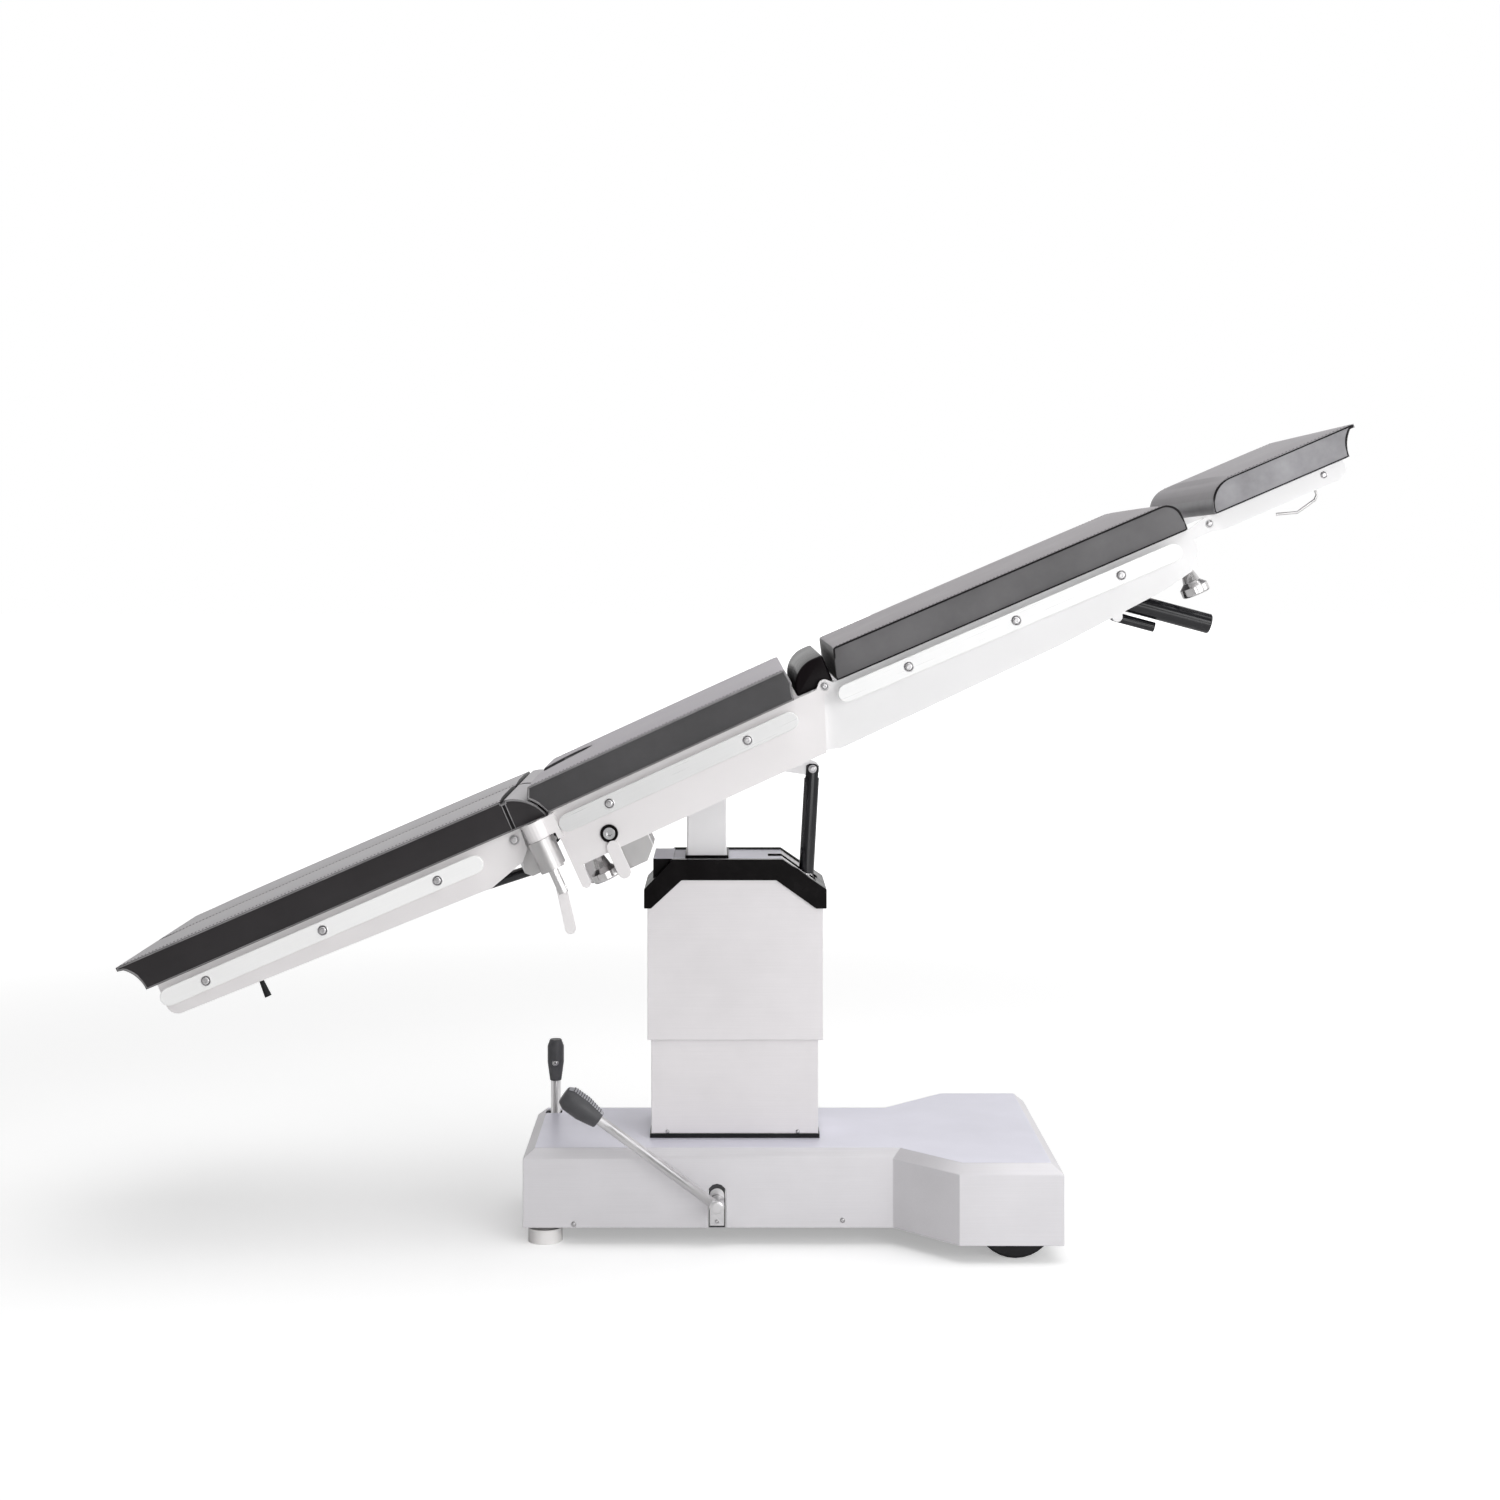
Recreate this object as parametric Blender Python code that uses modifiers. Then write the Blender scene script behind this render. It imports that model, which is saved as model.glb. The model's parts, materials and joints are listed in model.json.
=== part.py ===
"""Operating table with a lifting column, a tilting top and five cushioned sections.

Metres, +Z up. The origin is on the floor under the column. +X is the head end, +Y the far side.
Sections of the top are drawn in their own plane: u runs to the head end, w stands on the cushions.
"""

import math

import bmesh
import bpy
from mathutils import Matrix, Vector

# Fits
GAP = 0.0003
RUNNING_GAP = 0.0003
OVERRUN = 0.004
MERGE = 0.000001
FUSE = 0.0005
ROUND_SEGMENTS = 20
SMALL_SEGMENTS = 12
WHEEL_SEGMENTS = 32
CASTOR_SEGMENTS = 28
HEXAGON_SEGMENTS = 6
ARC_STEPS = 6
SHARP_ANGLE = math.radians(35)
TRIGGER_SHARP_ANGLE = math.radians(60)
CUSHION_SHARP_ANGLE = math.radians(50)
NEAR_SHARE = -1
FAR_SHARE = 1

# Tilt of the sections in the stored pose
SEAT_ANGLE = math.radians(24.6)
BACK_ANGLE = math.radians(23.3)
LEG_ANGLE = math.radians(23.4)

# Base
BASE_FOOT_X = -0.329
BASE_NECK_X = 0.243
BASE_FLARE_RUN = 0.093
BASE_FLARE_X = BASE_NECK_X + BASE_FLARE_RUN
BASE_HEAD_RUN = 0.158
BASE_HEAD_X = BASE_FLARE_X + BASE_HEAD_RUN
BASE_HALF_NARROW = 0.140
BASE_HALF_WIDE = 0.232
BASE_LOW = 0.028
BASE_TOP = 0.150
BASE_CHAMFER = 0.015
BASE_WALL = 0.003
CHASSIS_INSET = 0.021
CHASSIS_PLATE = 0.012
WHEEL_SETBACK = 0.070
WHEEL_X = BASE_HEAD_X - WHEEL_SETBACK
WHEEL_INSET = 0.042
WHEEL_Y = BASE_HALF_WIDE - WHEEL_INSET
WHEEL_RADIUS = 0.0615
WHEEL_WIDTH = 0.026
WHEEL_AXLE_RADIUS = 0.006
WHEEL_SIDE_GAP = 0.002
WHEEL_EAR = 0.005
WHEEL_EAR_HALF = 0.014
CASTOR_SETBACK = 0.114
CASTOR_X = BASE_FOOT_X + CASTOR_SETBACK
CASTOR_TRAIL = 0.022
CASTOR_RADIUS = 0.040
CASTOR_WIDTH = 0.022
CASTOR_LIFT = 0.003
CASTOR_CROWN = 0.006
CASTOR_STEM_RADIUS = 0.009
CASTOR_BOSS_RADIUS = 0.018
CASTOR_FORK_HALF = 0.013
LOCK_FOOT_SETBACK = 0.0325
LOCK_FOOT_X = BASE_FOOT_X + LOCK_FOOT_SETBACK
LOCK_FOOT_INSET = 0.032
LOCK_FOOT_Y = BASE_HALF_NARROW - LOCK_FOOT_INSET
LOCK_FOOT_RADIUS = 0.027
LOCK_FOOT_HEIGHT = 0.022
LOCK_STEM_RADIUS = 0.011
LOCK_STEM_DROP = 0.032
LOCK_STEM_TOP = BASE_TOP - LOCK_STEM_DROP
LOCK_GUIDE_WALL = 0.010
LOCK_GUIDE_RISE = 0.032
LOCK_GUIDE_LOW = BASE_LOW + LOCK_GUIDE_RISE
BRAKE_INSET = 0.040
BRAKE_Y = BASE_HALF_NARROW - BRAKE_INSET
BRAKE_PIVOT_DROP = 0.0065
BRAKE_BAR_RADIUS = 0.008
BRAKE_HUB_RADIUS = 0.0095
BRAKE_HUB_HALF = 0.0105
BRAKE_PIN_RADIUS = 0.004
BRAKE_POCKET_X = 0.0165
BRAKE_GRIP_RISE = 0.052
BRAKE_GRIP_LENGTH = 0.067
BRAKE_GRIP_LOW = BASE_TOP + BRAKE_GRIP_RISE
BRAKE_GRIP_HIGH = BRAKE_GRIP_LOW + BRAKE_GRIP_LENGTH
BRAKE_GRIP_RADIUS = 0.0135
BRAKE_GRIP_CAP = 0.014
BRAKE_BAR_TOP = BRAKE_GRIP_HIGH - BRAKE_GRIP_CAP
GRIP_NECK_SHARE = 0.70
GRIP_SWELL_SHARE = 0.16
GRIP_MIDDLE_SHARE = 0.55
PUMP_X = -0.029
PUMP_RISE = 0.0395
PUMP_Z = BASE_LOW + PUMP_RISE
PUMP_SLOT_HALF = 0.014
PUMP_SLOT_ABOVE = 0.0285
PUMP_SLOT_TOP = PUMP_Z + PUMP_SLOT_ABOVE
PUMP_TONGUE_HALF = 0.0125
PUMP_TONGUE_DEPTH = 0.012
PUMP_HUB_RADIUS = 0.0115
PUMP_HUB_RIM = 0.001
PUMP_PIN_RADIUS = 0.005
PUMP_BAR_RADIUS = 0.0078
PUMP_BAR_RUN = 0.197
PUMP_BAR_END_X = PUMP_X - PUMP_BAR_RUN
PUMP_BAR_RISE = 0.1445
PUMP_BAR_END_Z = PUMP_Z + PUMP_BAR_RISE
PUMP_GRIP_START = 0.2243
PUMP_GRIP_LENGTH = 0.067
PUMP_GRIP_RADIUS = 0.0195
PUMP_GRIP_CLEAR = 0.0022

# Column
LOWER_FOOT_X = -0.1327
LOWER_HEAD_X = 0.1302
LOWER_HALF_Y = 0.072
LOWER_TOP = 0.396
COLUMN_WALL = 0.002
GASKET_HEIGHT = 0.006
GASKET_EDGE = 0.002
GASKET_WALL = 0.012
COVER_STEP_FOOT = 0.0058
COVER_STEP_HEAD = 0.0074
COVER_STEP_SIDE = 0.0055
UPPER_FOOT_X = LOWER_FOOT_X - COVER_STEP_FOOT
UPPER_HEAD_X = LOWER_HEAD_X + COVER_STEP_HEAD
UPPER_HALF_Y = LOWER_HALF_Y + COVER_STEP_SIDE
UPPER_LOW = 0.305
UPPER_TOP = 0.5865
UPPER_SHOULDER_DROP = 0.0455
UPPER_SHOULDER = UPPER_TOP - UPPER_SHOULDER_DROP
UPPER_SLANT_FOOT = 0.040
UPPER_TOP_FOOT_X = UPPER_FOOT_X + UPPER_SLANT_FOOT
UPPER_SLANT_HEAD = 0.0641
UPPER_TOP_HEAD_X = UPPER_HEAD_X - UPPER_SLANT_HEAD
TRIM_DROP = 0.0745
TRIM_LOW = UPPER_TOP - TRIM_DROP
TRIM_THICK = 0.0035
TRIM_SIDE = 0.0055
TRIM_LIP = 0.0025
TRIM_BAND = 0.030
TRIM_INNER_STEP = 0.0115
TRIM_INNER_Y = UPPER_HALF_Y - TRIM_INNER_STEP
TRIM_INNER_RUN = 0.011
LIFT_X = -0.0455
LIFT_TUBE_RADIUS = 0.045
LIFT_TUBE_LOW = 0.075
LIFT_TUBE_SINK = 0.011
LIFT_TUBE_TOP = LOWER_TOP - LIFT_TUBE_SINK
LIFT_TUBE_FLOOR = 0.010
LIFT_RAM_RADIUS = 0.032
LIFT_RAM_LOW = 0.225
POST_HALF_X = 0.0315
POST_HALF_Y = 0.045
POST_ABOVE_PIVOT = 0.022
POST_FORK_HALF = 0.0255
POST_FORK_DEPTH = 0.038
POST_FLANGE_FOOT = 0.048
POST_FLANGE_HEAD = 0.090
POST_FLANGE_THICK = 0.012
POST_FLANGE_HALF_Y = 0.070
POST_HOLE_GAP = 0.0015

# Tilt cylinder, from its foot pivot in the column to its top pivot on the saddle
TILT_FOOT_STEP = 0.0316
TILT_FOOT_X = UPPER_HEAD_X - TILT_FOOT_STEP
TILT_FOOT_DROP = 0.1665
TILT_FOOT_Z = UPPER_TOP - TILT_FOOT_DROP
TILT_TUBE_RADIUS = 0.012
TILT_TUBE_NECK = 0.0084
TILT_TUBE_ABOVE = 0.0077
TILT_TUBE_START = 0.015
TILT_TUBE_END = 0.172
TILT_BORE_DEPTH = 0.150
TILT_ROD_RADIUS = 0.0055
TILT_ROD_START = 0.150
TILT_PIN_RADIUS = 0.0035
TILT_EAR_IN = 0.018
TILT_EAR_OUT = 0.023
TILT_EAR_FOOT_RUN = 0.026
TILT_EAR_FOOT_X = TILT_FOOT_X - TILT_EAR_FOOT_RUN
TILT_EAR_HEAD_RUN = 0.0212
TILT_EAR_HEAD_X = TILT_FOOT_X + TILT_EAR_HEAD_RUN
TILT_WINDOW_FOOT = 0.018
TILT_WINDOW_HEAD = 0.016
TILT_WINDOW_HALF_Z = 0.012
TILT_WINDOW_RIM = 0.005
TILT_SLOT_FOOT_RUN = 0.054
TILT_SLOT_FOOT_X = TILT_FOOT_X - TILT_SLOT_FOOT_RUN
TILT_SLOT_HEAD_RUN = 0.025
TILT_SLOT_HEAD_X = TILT_FOOT_X + TILT_SLOT_HEAD_RUN
TILT_SLOT_HALF = 0.0155

# Seat section, measured from the hip pivot
PIVOT_STEP_X = 0.00098
PIVOT_RISE = 0.14962
PLATE_OUT = 0.2435
PLATE_WALL = 0.006
PLANE_GAP = 0.0004
PIVOT_U = -0.217
PIVOT_W = -0.048
TILT_TOP_RUN = 0.1482
TILT_TOP_DROP = 0.0796
TILT_TOP_U = PIVOT_U + TILT_TOP_RUN
TILT_TOP_W = PIVOT_W - TILT_TOP_DROP
SEAT_LEG_END = -0.455
SEAT_DEPTH = 0.092
SEAM_TOP_U = -0.007
SEAM_TOP_W = -0.014
SEAM_LOW_U = -0.039
HIP_LUG_RADIUS = 0.010
HIP_LUG_SHOULDER = 0.014
HIP_PIN_RADIUS = 0.0065
TAB_WIDTH = 0.015
TAB_REACH = 0.035
TAB_LOW = -SEAT_DEPTH - TAB_REACH
TAB_CHAMFER = 0.005
BEARING_NEAR_U = 0.085
BEARING_LENGTH = 0.030
BEARING_DEPTH = 0.064
SHAFT_RADIUS = 0.014
SHAFT_END = 0.003
SHAFT_REACH = BEARING_NEAR_U + BEARING_LENGTH + SHAFT_END
HUB_RADIUS = 0.018
TRUNNION_RADIUS = 0.012
TRUNNION_END = 0.002
TRUNNION_REACH = POST_HALF_Y + TRUNNION_END
ARM_HALF = 0.006
ARM_SIDE_GAP = 0.010
ARM_WIDTH = 0.024
ARM_LOW_WIDTH = 0.036
ARM_START = BEARING_NEAR_U - ARM_WIDTH - ARM_SIDE_GAP
ARM_CLEAR = 0.014
ARM_CLEAR_W = -BEARING_DEPTH - ARM_CLEAR
ARM_LUG_RADIUS = 0.012
RAIL_STANDOFF = 0.014
RAIL_IN = PLATE_OUT + RAIL_STANDOFF
RAIL_THICK = 0.010
RAIL_HALF = 0.0135
RAIL_BOSS_RADIUS = 0.009
SEAT_RAIL_W = -0.024
SEAT_RAIL_SETBACK = 0.009
SEAT_RAIL_LEG = SEAT_LEG_END + SEAT_RAIL_SETBACK
SEAT_RAIL_HIP = -0.056
SEAT_RAIL_BOSS_RUN = 0.082
SEAT_RAIL_BOSS_LEG = SEAT_RAIL_LEG + SEAT_RAIL_BOSS_RUN
SEAT_RAIL_BOSS_HIP = SEAT_RAIL_HIP - SEAT_RAIL_BOSS_RUN
SOCKET_REACH = 0.026
SOCKET_U = SEAT_LEG_END - SOCKET_REACH
SOCKET_STANDOFF = 0.0233
SOCKET_Y = PLATE_OUT + SOCKET_STANDOFF
SOCKET_RADIUS = 0.016
SOCKET_TOP = 0.002
SOCKET_LOW = -0.0297
SOCKET_BLOCK_DEPTH = 0.040
SOCKET_BLOCK_U = SEAT_LEG_END + GAP
SOCKET_BLOCK_WIDTH = 0.008
SOCKET_LINK_STANDOFF = 0.0155
SOCKET_LINK_Y = PLATE_OUT + SOCKET_LINK_STANDOFF
SOCKET_LINK_THICK = 0.011
KNOB_RUN = 0.037
KNOB_U = SEAT_LEG_END + KNOB_RUN
KNOB_INSET = 0.0305
KNOB_Y = PLATE_OUT - KNOB_INSET
KNOB_BOSS_HALF = 0.016
KNOB_BOSS_HEIGHT = 0.032
KNOB_STEM_RADIUS = 0.006
KNOB_NECK_RADIUS = 0.009
KNOB_BELL_RADIUS = 0.0135
KNOB_FLANGE_RADIUS = 0.0215
KNOB_BELL_DROP = 0.018
KNOB_FLANGE_DROP = 0.025
KNOB_HEIGHT = 0.038
GEARBOX_RUN = 0.057
GEARBOX_LEG_U = SEAT_LEG_END + GEARBOX_RUN
GEARBOX_DROP = 0.036
GEARBOX_LOW = -SEAT_DEPTH - GEARBOX_DROP
GEARBOX_TOP = -0.050
GEARBOX_WIDTH = 0.0785
GEARBOX_IN_Y = PLATE_OUT - GEARBOX_WIDTH
GEARBOX_CHAMFER = 0.018
CRANK_RUN = 0.013
CRANK_U = GEARBOX_LEG_U + CRANK_RUN
CRANK_RISE = 0.026
CRANK_W = -SEAT_DEPTH + CRANK_RISE
CRANK_RADIUS = 0.009
CRANK_REACH = 0.004
PADDLE_RUN = 0.010
PADDLE_U = GEARBOX_LEG_U + PADDLE_RUN
PADDLE_RISE = 0.005
PADDLE_TOP_W = -SEAT_DEPTH + PADDLE_RISE
PADDLE_LENGTH = 0.041
PADDLE_LOW_W = PADDLE_TOP_W - PADDLE_LENGTH
PADDLE_HALF = 0.010
PADDLE_THICK = 0.004
PADDLE_PIN_RADIUS = 0.004

# Legs, measured from the knee pivot along the leg
KNEE_REACH = 0.063
KNEE_U = SEAT_LEG_END - KNEE_REACH
KNEE_W = -0.016
KNEE_PIN_RADIUS = 0.006
KNEE_BOSS_RADIUS = 0.0125
BARREL_RADIUS = 0.0185
BARREL_LOW = -0.078
BARREL_STUD_RADIUS = 0.0085
WING_INSET = 0.038
WING_IN = PLATE_OUT - WING_INSET
WING_THICK = 0.0135
WING_LOW_RUN = 0.001
WING_LOW_U = KNEE_U - WING_LOW_RUN
WING_RISE = 0.001
WING_LOW_W = BARREL_LOW - WING_RISE
WING_FOOT_RUN = 0.010
WING_FOOT_U = KNEE_U - WING_FOOT_RUN
WING_FOOT_RISE = 0.009
WING_FOOT_W = WING_LOW_W + WING_FOOT_RISE
BRIDGE_LEG_RUN = 0.005
BRIDGE_LEG_U = SOCKET_U - BRIDGE_LEG_RUN
BRIDGE_HIP_RUN = 0.015
BRIDGE_HIP_U = SOCKET_U + BRIDGE_HIP_RUN
BRIDGE_STEP = 0.003
BRIDGE_TOP = SOCKET_LOW - GAP - BRIDGE_STEP
SPRING_HUB_U = 0.005
SPRING_HUB_W = -0.056
SPRING_LEG_U = -0.280
SPRING_LEG_W = -0.030
SPRING_INSET = 0.0485
SPRING_Y = PLATE_OUT - SPRING_INSET
SPRING_TUBE_RADIUS = 0.0085
SPRING_TUBE_SHARE = 0.62
SPRING_ROD_RADIUS = 0.004
SPRING_ROD_INSIDE = 0.022
SPRING_PIN_RADIUS = 0.0035
SPRING_EYE_RADIUS = 0.0075
SPRING_EYE_HALF = 0.0068
SPRING_LUG_STEP = 0.0125
SPRING_LUG_IN = SPRING_Y + SPRING_LUG_STEP
SPRING_LUG_THICK = 0.005
SPRING_WINDOW_U = 0.014
SPRING_WINDOW_W = 0.012
SPRING_LUG_RIM = 0.006
LEG_FOOT_U = -0.577
LEG_PLATE_TOP = 0.0131
LEG_PLATE_DEEP_U = -0.060
LEG_PLATE_DEEP_W = -0.053
LEG_PLATE_TIP_W = -0.022
LEG_PLATE_TIP_ROUND = 0.018
LEG_PLATE_HEEL_U = -0.001
LEG_PLATE_HEEL_W = -0.035
LEG_PLATE_NOSE_U = 0.014
LEG_PLATE_NOSE_LOW_U = 0.012
LEG_PLATE_NOSE_LOW_W = -0.020
LEG_TRAY_THICK = 0.005
LEG_TRAY_KNEE_U = -0.030
LEG_TRAY_IN = 0.014
LEG_RAIL_W = -0.0085
LEG_RAIL_SETBACK = 0.002
LEG_RAIL_FOOT = LEG_FOOT_U + LEG_RAIL_SETBACK
LEG_RAIL_KNEE = -0.053
LEG_RAIL_BOSS_SHARES = (0.142, 0.504, 0.860)
RELEASE_RUN = 0.141
RELEASE_U = LEG_FOOT_U + RELEASE_RUN
RELEASE_W = -0.022
RELEASE_INSET = 0.0175
RELEASE_Y = PLATE_OUT - RELEASE_INSET
RELEASE_EYE_RADIUS = 0.008
RELEASE_ROD_RADIUS = 0.003
RELEASE_GRIP_TOP = 0.020
RELEASE_GRIP_LOW = 0.048
RELEASE_GRIP_RADIUS = 0.0055
RELEASE_PIN_RADIUS = 0.003
CLAMP_STUD_RADIUS = 0.0075
CLAMP_STUD_LENGTH = 0.038
CLAMP_STUD_LOW = BARREL_LOW - CLAMP_STUD_LENGTH
CLAMP_PIN_RADIUS = 0.004
CLAMP_PIN_HEIGHT = 0.012
CLAMP_PADDLE_HALF = 0.008
CLAMP_PADDLE_THICK = 0.006
CLAMP_PADDLE_LENGTH = 0.062
CLAMP_PADDLE_LEAN = math.radians(12)

# Back, measured from the hip pivot along the back
NECK_U = 0.627
NECK_W = -0.005
BACK_LOW_HIP_U = -0.036
BACK_LOW_HIP_W = -0.090
BACK_LOW_START_U = -0.012
BACK_LOW_START_W = -0.096
BACK_LOW_MID_U = 0.351
BACK_LOW_MID_W = -0.084
BACK_BEND_RUN = 0.101
BACK_LOW_BEND_U = NECK_U - BACK_BEND_RUN
BACK_LOW_BEND_W = -0.070
BACK_END_RUN = 0.030
BACK_END_U = NECK_U - BACK_END_RUN
BACK_END_W = -0.034
BACK_END_SLANT = 0.022
BACK_END_LOW_U = BACK_END_U - BACK_END_SLANT
BACK_END_LOW_W = -0.060
NECK_LUG_RADIUS = 0.012
NECK_LUG_SHOULDER = 0.018
NECK_PIN_RADIUS = 0.006
BACK_BEAM_DEPTH = 0.030
BACK_BEAM_WIDTH = 0.026
BACK_BEAM_HIP_U = -0.010
BACK_BEAM_MID_U = 0.300
BACK_BEAM_RUN = 0.069
BACK_BEAM_NECK_U = NECK_U - BACK_BEAM_RUN
BACK_RAIL_W = -0.0215
BACK_RAIL_HIP = 0.012
BACK_RAIL_RUN = 0.059
BACK_RAIL_NECK = NECK_U - BACK_RAIL_RUN
BACK_RAIL_BOSS_SHARES = (0.205, 0.518, 0.824)
GRIP_RUN_BACK = 0.165
GRIP_U = NECK_U - GRIP_RUN_BACK
GRIP_W = -0.0586
GRIP_REACH = 0.112
GRIP_END_U = GRIP_U + GRIP_REACH
GRIP_DROP = 0.0884
GRIP_END_W = GRIP_W - GRIP_DROP
GRIP_INSET = 0.0385
GRIP_Y = PLATE_OUT - GRIP_INSET
GRIP_RADIUS = 0.015
GRIP_BRACKET_RUN = 0.032
GRIP_BRACKET_U = GRIP_U - GRIP_BRACKET_RUN
GRIP_BRACKET_TOP = -0.025
GRIP_BRACKET_LOW = -0.060
GRIP_BRACKET_HALF = 0.017
GRIP_BRACKET_INSET = 0.0535
GRIP_BRACKET_IN = PLATE_OUT - GRIP_BRACKET_INSET
TRIGGER_OFFSET = 0.0265
TRIGGER_RADIUS = 0.0075
TRIGGER_LENGTH = 0.062
TRIGGER_PIN_RADIUS = 0.003
TRIGGER_EYE_RADIUS = 0.0075
TRIGGER_LUG_INSET = 0.0229
TRIGGER_LUG_IN = PLATE_OUT - TRIGGER_LUG_INSET
BACK_KNOB_RUN = 0.055
BACK_KNOB_U = NECK_U - BACK_KNOB_RUN
BACK_KNOB_BOSS_LOW = -0.058

# Head, measured from the hip pivot along the back
HEAD_PLATE_TOP = 0.0047
HEAD_PLATE_LOW = -0.022
HEAD_LENGTH = 0.223
HEAD_END_U = NECK_U + HEAD_LENGTH
HEAD_BEAM_SHARES = (0.30, 0.84)
HEAD_BEAM_WIDTH = 0.022
HEAD_BEAM_DEPTH = 0.016
HEAD_LEVER_SETBACK = 0.053
HEAD_LEVER_U = HEAD_END_U - HEAD_LEVER_SETBACK
HEAD_LEVER_W = -0.012
HEAD_LEVER_INSET = 0.026
HEAD_LEVER_Y = PLATE_OUT - HEAD_LEVER_INSET
HEAD_LEVER_EYE = 0.005
HEAD_LEVER_EYE_HALF = 0.004
HEAD_LEVER_WIRE = 0.0021
HEAD_LEVER_DROP = 0.018
HEAD_LEVER_BEND = 0.006
HEAD_LEVER_MID_RUN = 0.038
HEAD_LEVER_MID_U = HEAD_LEVER_U - HEAD_LEVER_MID_RUN
HEAD_LEVER_MID_W = -0.043
HEAD_LEVER_TIP_RUN = 0.030
HEAD_LEVER_TIP_U = HEAD_LEVER_MID_U - HEAD_LEVER_TIP_RUN
HEAD_LEVER_TIP_W = -0.033

# Cushions
CUSHION = 0.048
CUSHION_EDGE = 0.0065
CUSHION_HALF = PLATE_OUT + CUSHION_EDGE
CUSHION_CROWN = 0.003
CUSHION_DRAW = 0.0022
CUSHION_ROUND = 0.005
CUSHION_CUT_SHARES = (0.08, 0.3, 0.5, 0.7, 0.92)
EDGE_SHARE = 0.999
KNEE_ARC_RISE = 0.0135
KNEE_ARC = CUSHION + KNEE_ARC_RISE
KNEE_ARC_GAP = 0.003
HIP_ARC_DROP = 0.004
HIP_ARC = CUSHION - HIP_ARC_DROP
HIP_ARC_GAP = 0.006
SEAT_CUSHION_REACH = 0.012
SEAT_CUSHION_LEG_TOP_U = SEAT_LEG_END - SEAT_CUSHION_REACH
SEAT_CUSHION_LIP = 0.008
SEAT_CUSHION_LIP_U = SEAT_CUSHION_LEG_TOP_U - SEAT_CUSHION_LIP
SEAT_CUSHION_HIP_TOP_U = -0.045
CUTOUT_HALF = 0.055
CUTOUT_DEPTH = 0.092
CUTOUT_END_U = SEAT_CUSHION_LEG_TOP_U + CUTOUT_DEPTH
BOLSTER_END_U = 0.015
BOLSTER_SET_BACK = 0.0195
BACK_CUSHION_LOW_U = 0.020
BACK_CUSHION_TOP_U = 0.034
BACK_CUSHION_RUN = 0.035
BACK_CUSHION_END_U = NECK_U - BACK_CUSHION_RUN
BACK_CUSHION_ROUND = 0.024
HEAD_CUSHION_RUN = 0.012
HEAD_CUSHION_LOW_U = NECK_U + HEAD_CUSHION_RUN
HEAD_CUSHION_EDGE = 0.007
HEAD_CUSHION_END_U = HEAD_END_U + HEAD_CUSHION_EDGE
HEAD_CUSHION_TIP = 0.024
HEAD_CUSHION_TIP_U = HEAD_CUSHION_END_U + HEAD_CUSHION_TIP
HEAD_CUSHION_STEP = 0.008
HEAD_CUSHION_ROUND = CUSHION - HEAD_CUSHION_STEP
LEG_CUSHION_LOW_W = LEG_PLATE_TOP + GAP
LEG_CUSHION_EDGE = 0.017
LEG_CUSHION_FOOT_U = LEG_FOOT_U - LEG_CUSHION_EDGE
LEG_CUSHION_TIP = 0.029
LEG_CUSHION_TIP_U = LEG_CUSHION_FOOT_U - LEG_CUSHION_TIP
LEG_CUSHION_GAP = 0.004
LEG_GROOVE_U = 0.003
LEG_GROOVE_WIDTH = 0.006
LEG_GROOVE_DEPTH = 0.004
TIP_LIP = 0.006
TIP_ARC_RISE = 0.003
TIP_ARC = CUSHION + TIP_ARC_RISE

# Looks: colour, roughness, metallic
STEEL = ((0.66, 0.65, 0.66), 0.32, 0.85)
CHROME = ((0.80, 0.80, 0.81), 0.14, 1.0)
WHITE_METAL = ((0.86, 0.85, 0.85), 0.38, 0.15)
RAIL_STEEL = ((0.78, 0.78, 0.79), 0.26, 0.8)
BLACK_GLOSS = ((0.012, 0.011, 0.012), 0.22, 0.0)
BLACK_RUBBER = ((0.035, 0.035, 0.037), 0.65, 0.0)
CUSHION_GREY = ((0.055, 0.052, 0.056), 0.45, 0.0)
CASTING = ((0.62, 0.62, 0.63), 0.35, 0.9)
FOOT_GREY = ((0.72, 0.71, 0.70), 0.5, 0.0)
DARK_STEEL = ((0.16, 0.16, 0.17), 0.45, 0.7)

for item in list(bpy.data.objects):
    bpy.data.objects.remove(item, do_unlink=True)

parts = bpy.data.collections.new("operating_table")
cutters = bpy.data.collections.new("cutters")
for group in (parts, cutters):
    bpy.context.scene.collection.children.link(group)

# A side as a share of a distance from the middle plane, and its name
NEAR, FAR = NEAR_SHARE, FAR_SHARE
SIDES = ((NEAR, "near"), (FAR, "far"))


def section(x, z, angle):
    """The plane of a section of the top: its origin in the world and its tilt, head end up."""
    return Matrix.Translation((x, 0, z)) @ Matrix.Rotation(-angle, 4, "Y")


WORLD = Matrix.Identity(4)
PIVOT_POINT = Vector((LIFT_X + PIVOT_STEP_X, 0, UPPER_TOP + PIVOT_RISE))
HIP_POINT = section(PIVOT_POINT.x, PIVOT_POINT.z, SEAT_ANGLE) @ Vector((-PIVOT_U, 0, -PIVOT_W))
SEAT = section(HIP_POINT.x, HIP_POINT.z, SEAT_ANGLE)
BACK = section(HIP_POINT.x, HIP_POINT.z, BACK_ANGLE)
KNEE_POINT = SEAT @ Vector((KNEE_U, 0, KNEE_W))
LEG = section(KNEE_POINT.x, KNEE_POINT.z, LEG_ANGLE)
TILT_TOP_POINT = SEAT @ Vector((TILT_TOP_U, 0, TILT_TOP_W))
GRIP_START = Vector((GRIP_U, GRIP_W))
GRIP_RUN = (Vector((GRIP_END_U, GRIP_END_W)) - GRIP_START).normalized()
GRIP_NORMAL = Vector((-GRIP_RUN.y, GRIP_RUN.x))
TRIGGER_START = GRIP_START - GRIP_NORMAL * TRIGGER_OFFSET


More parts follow.
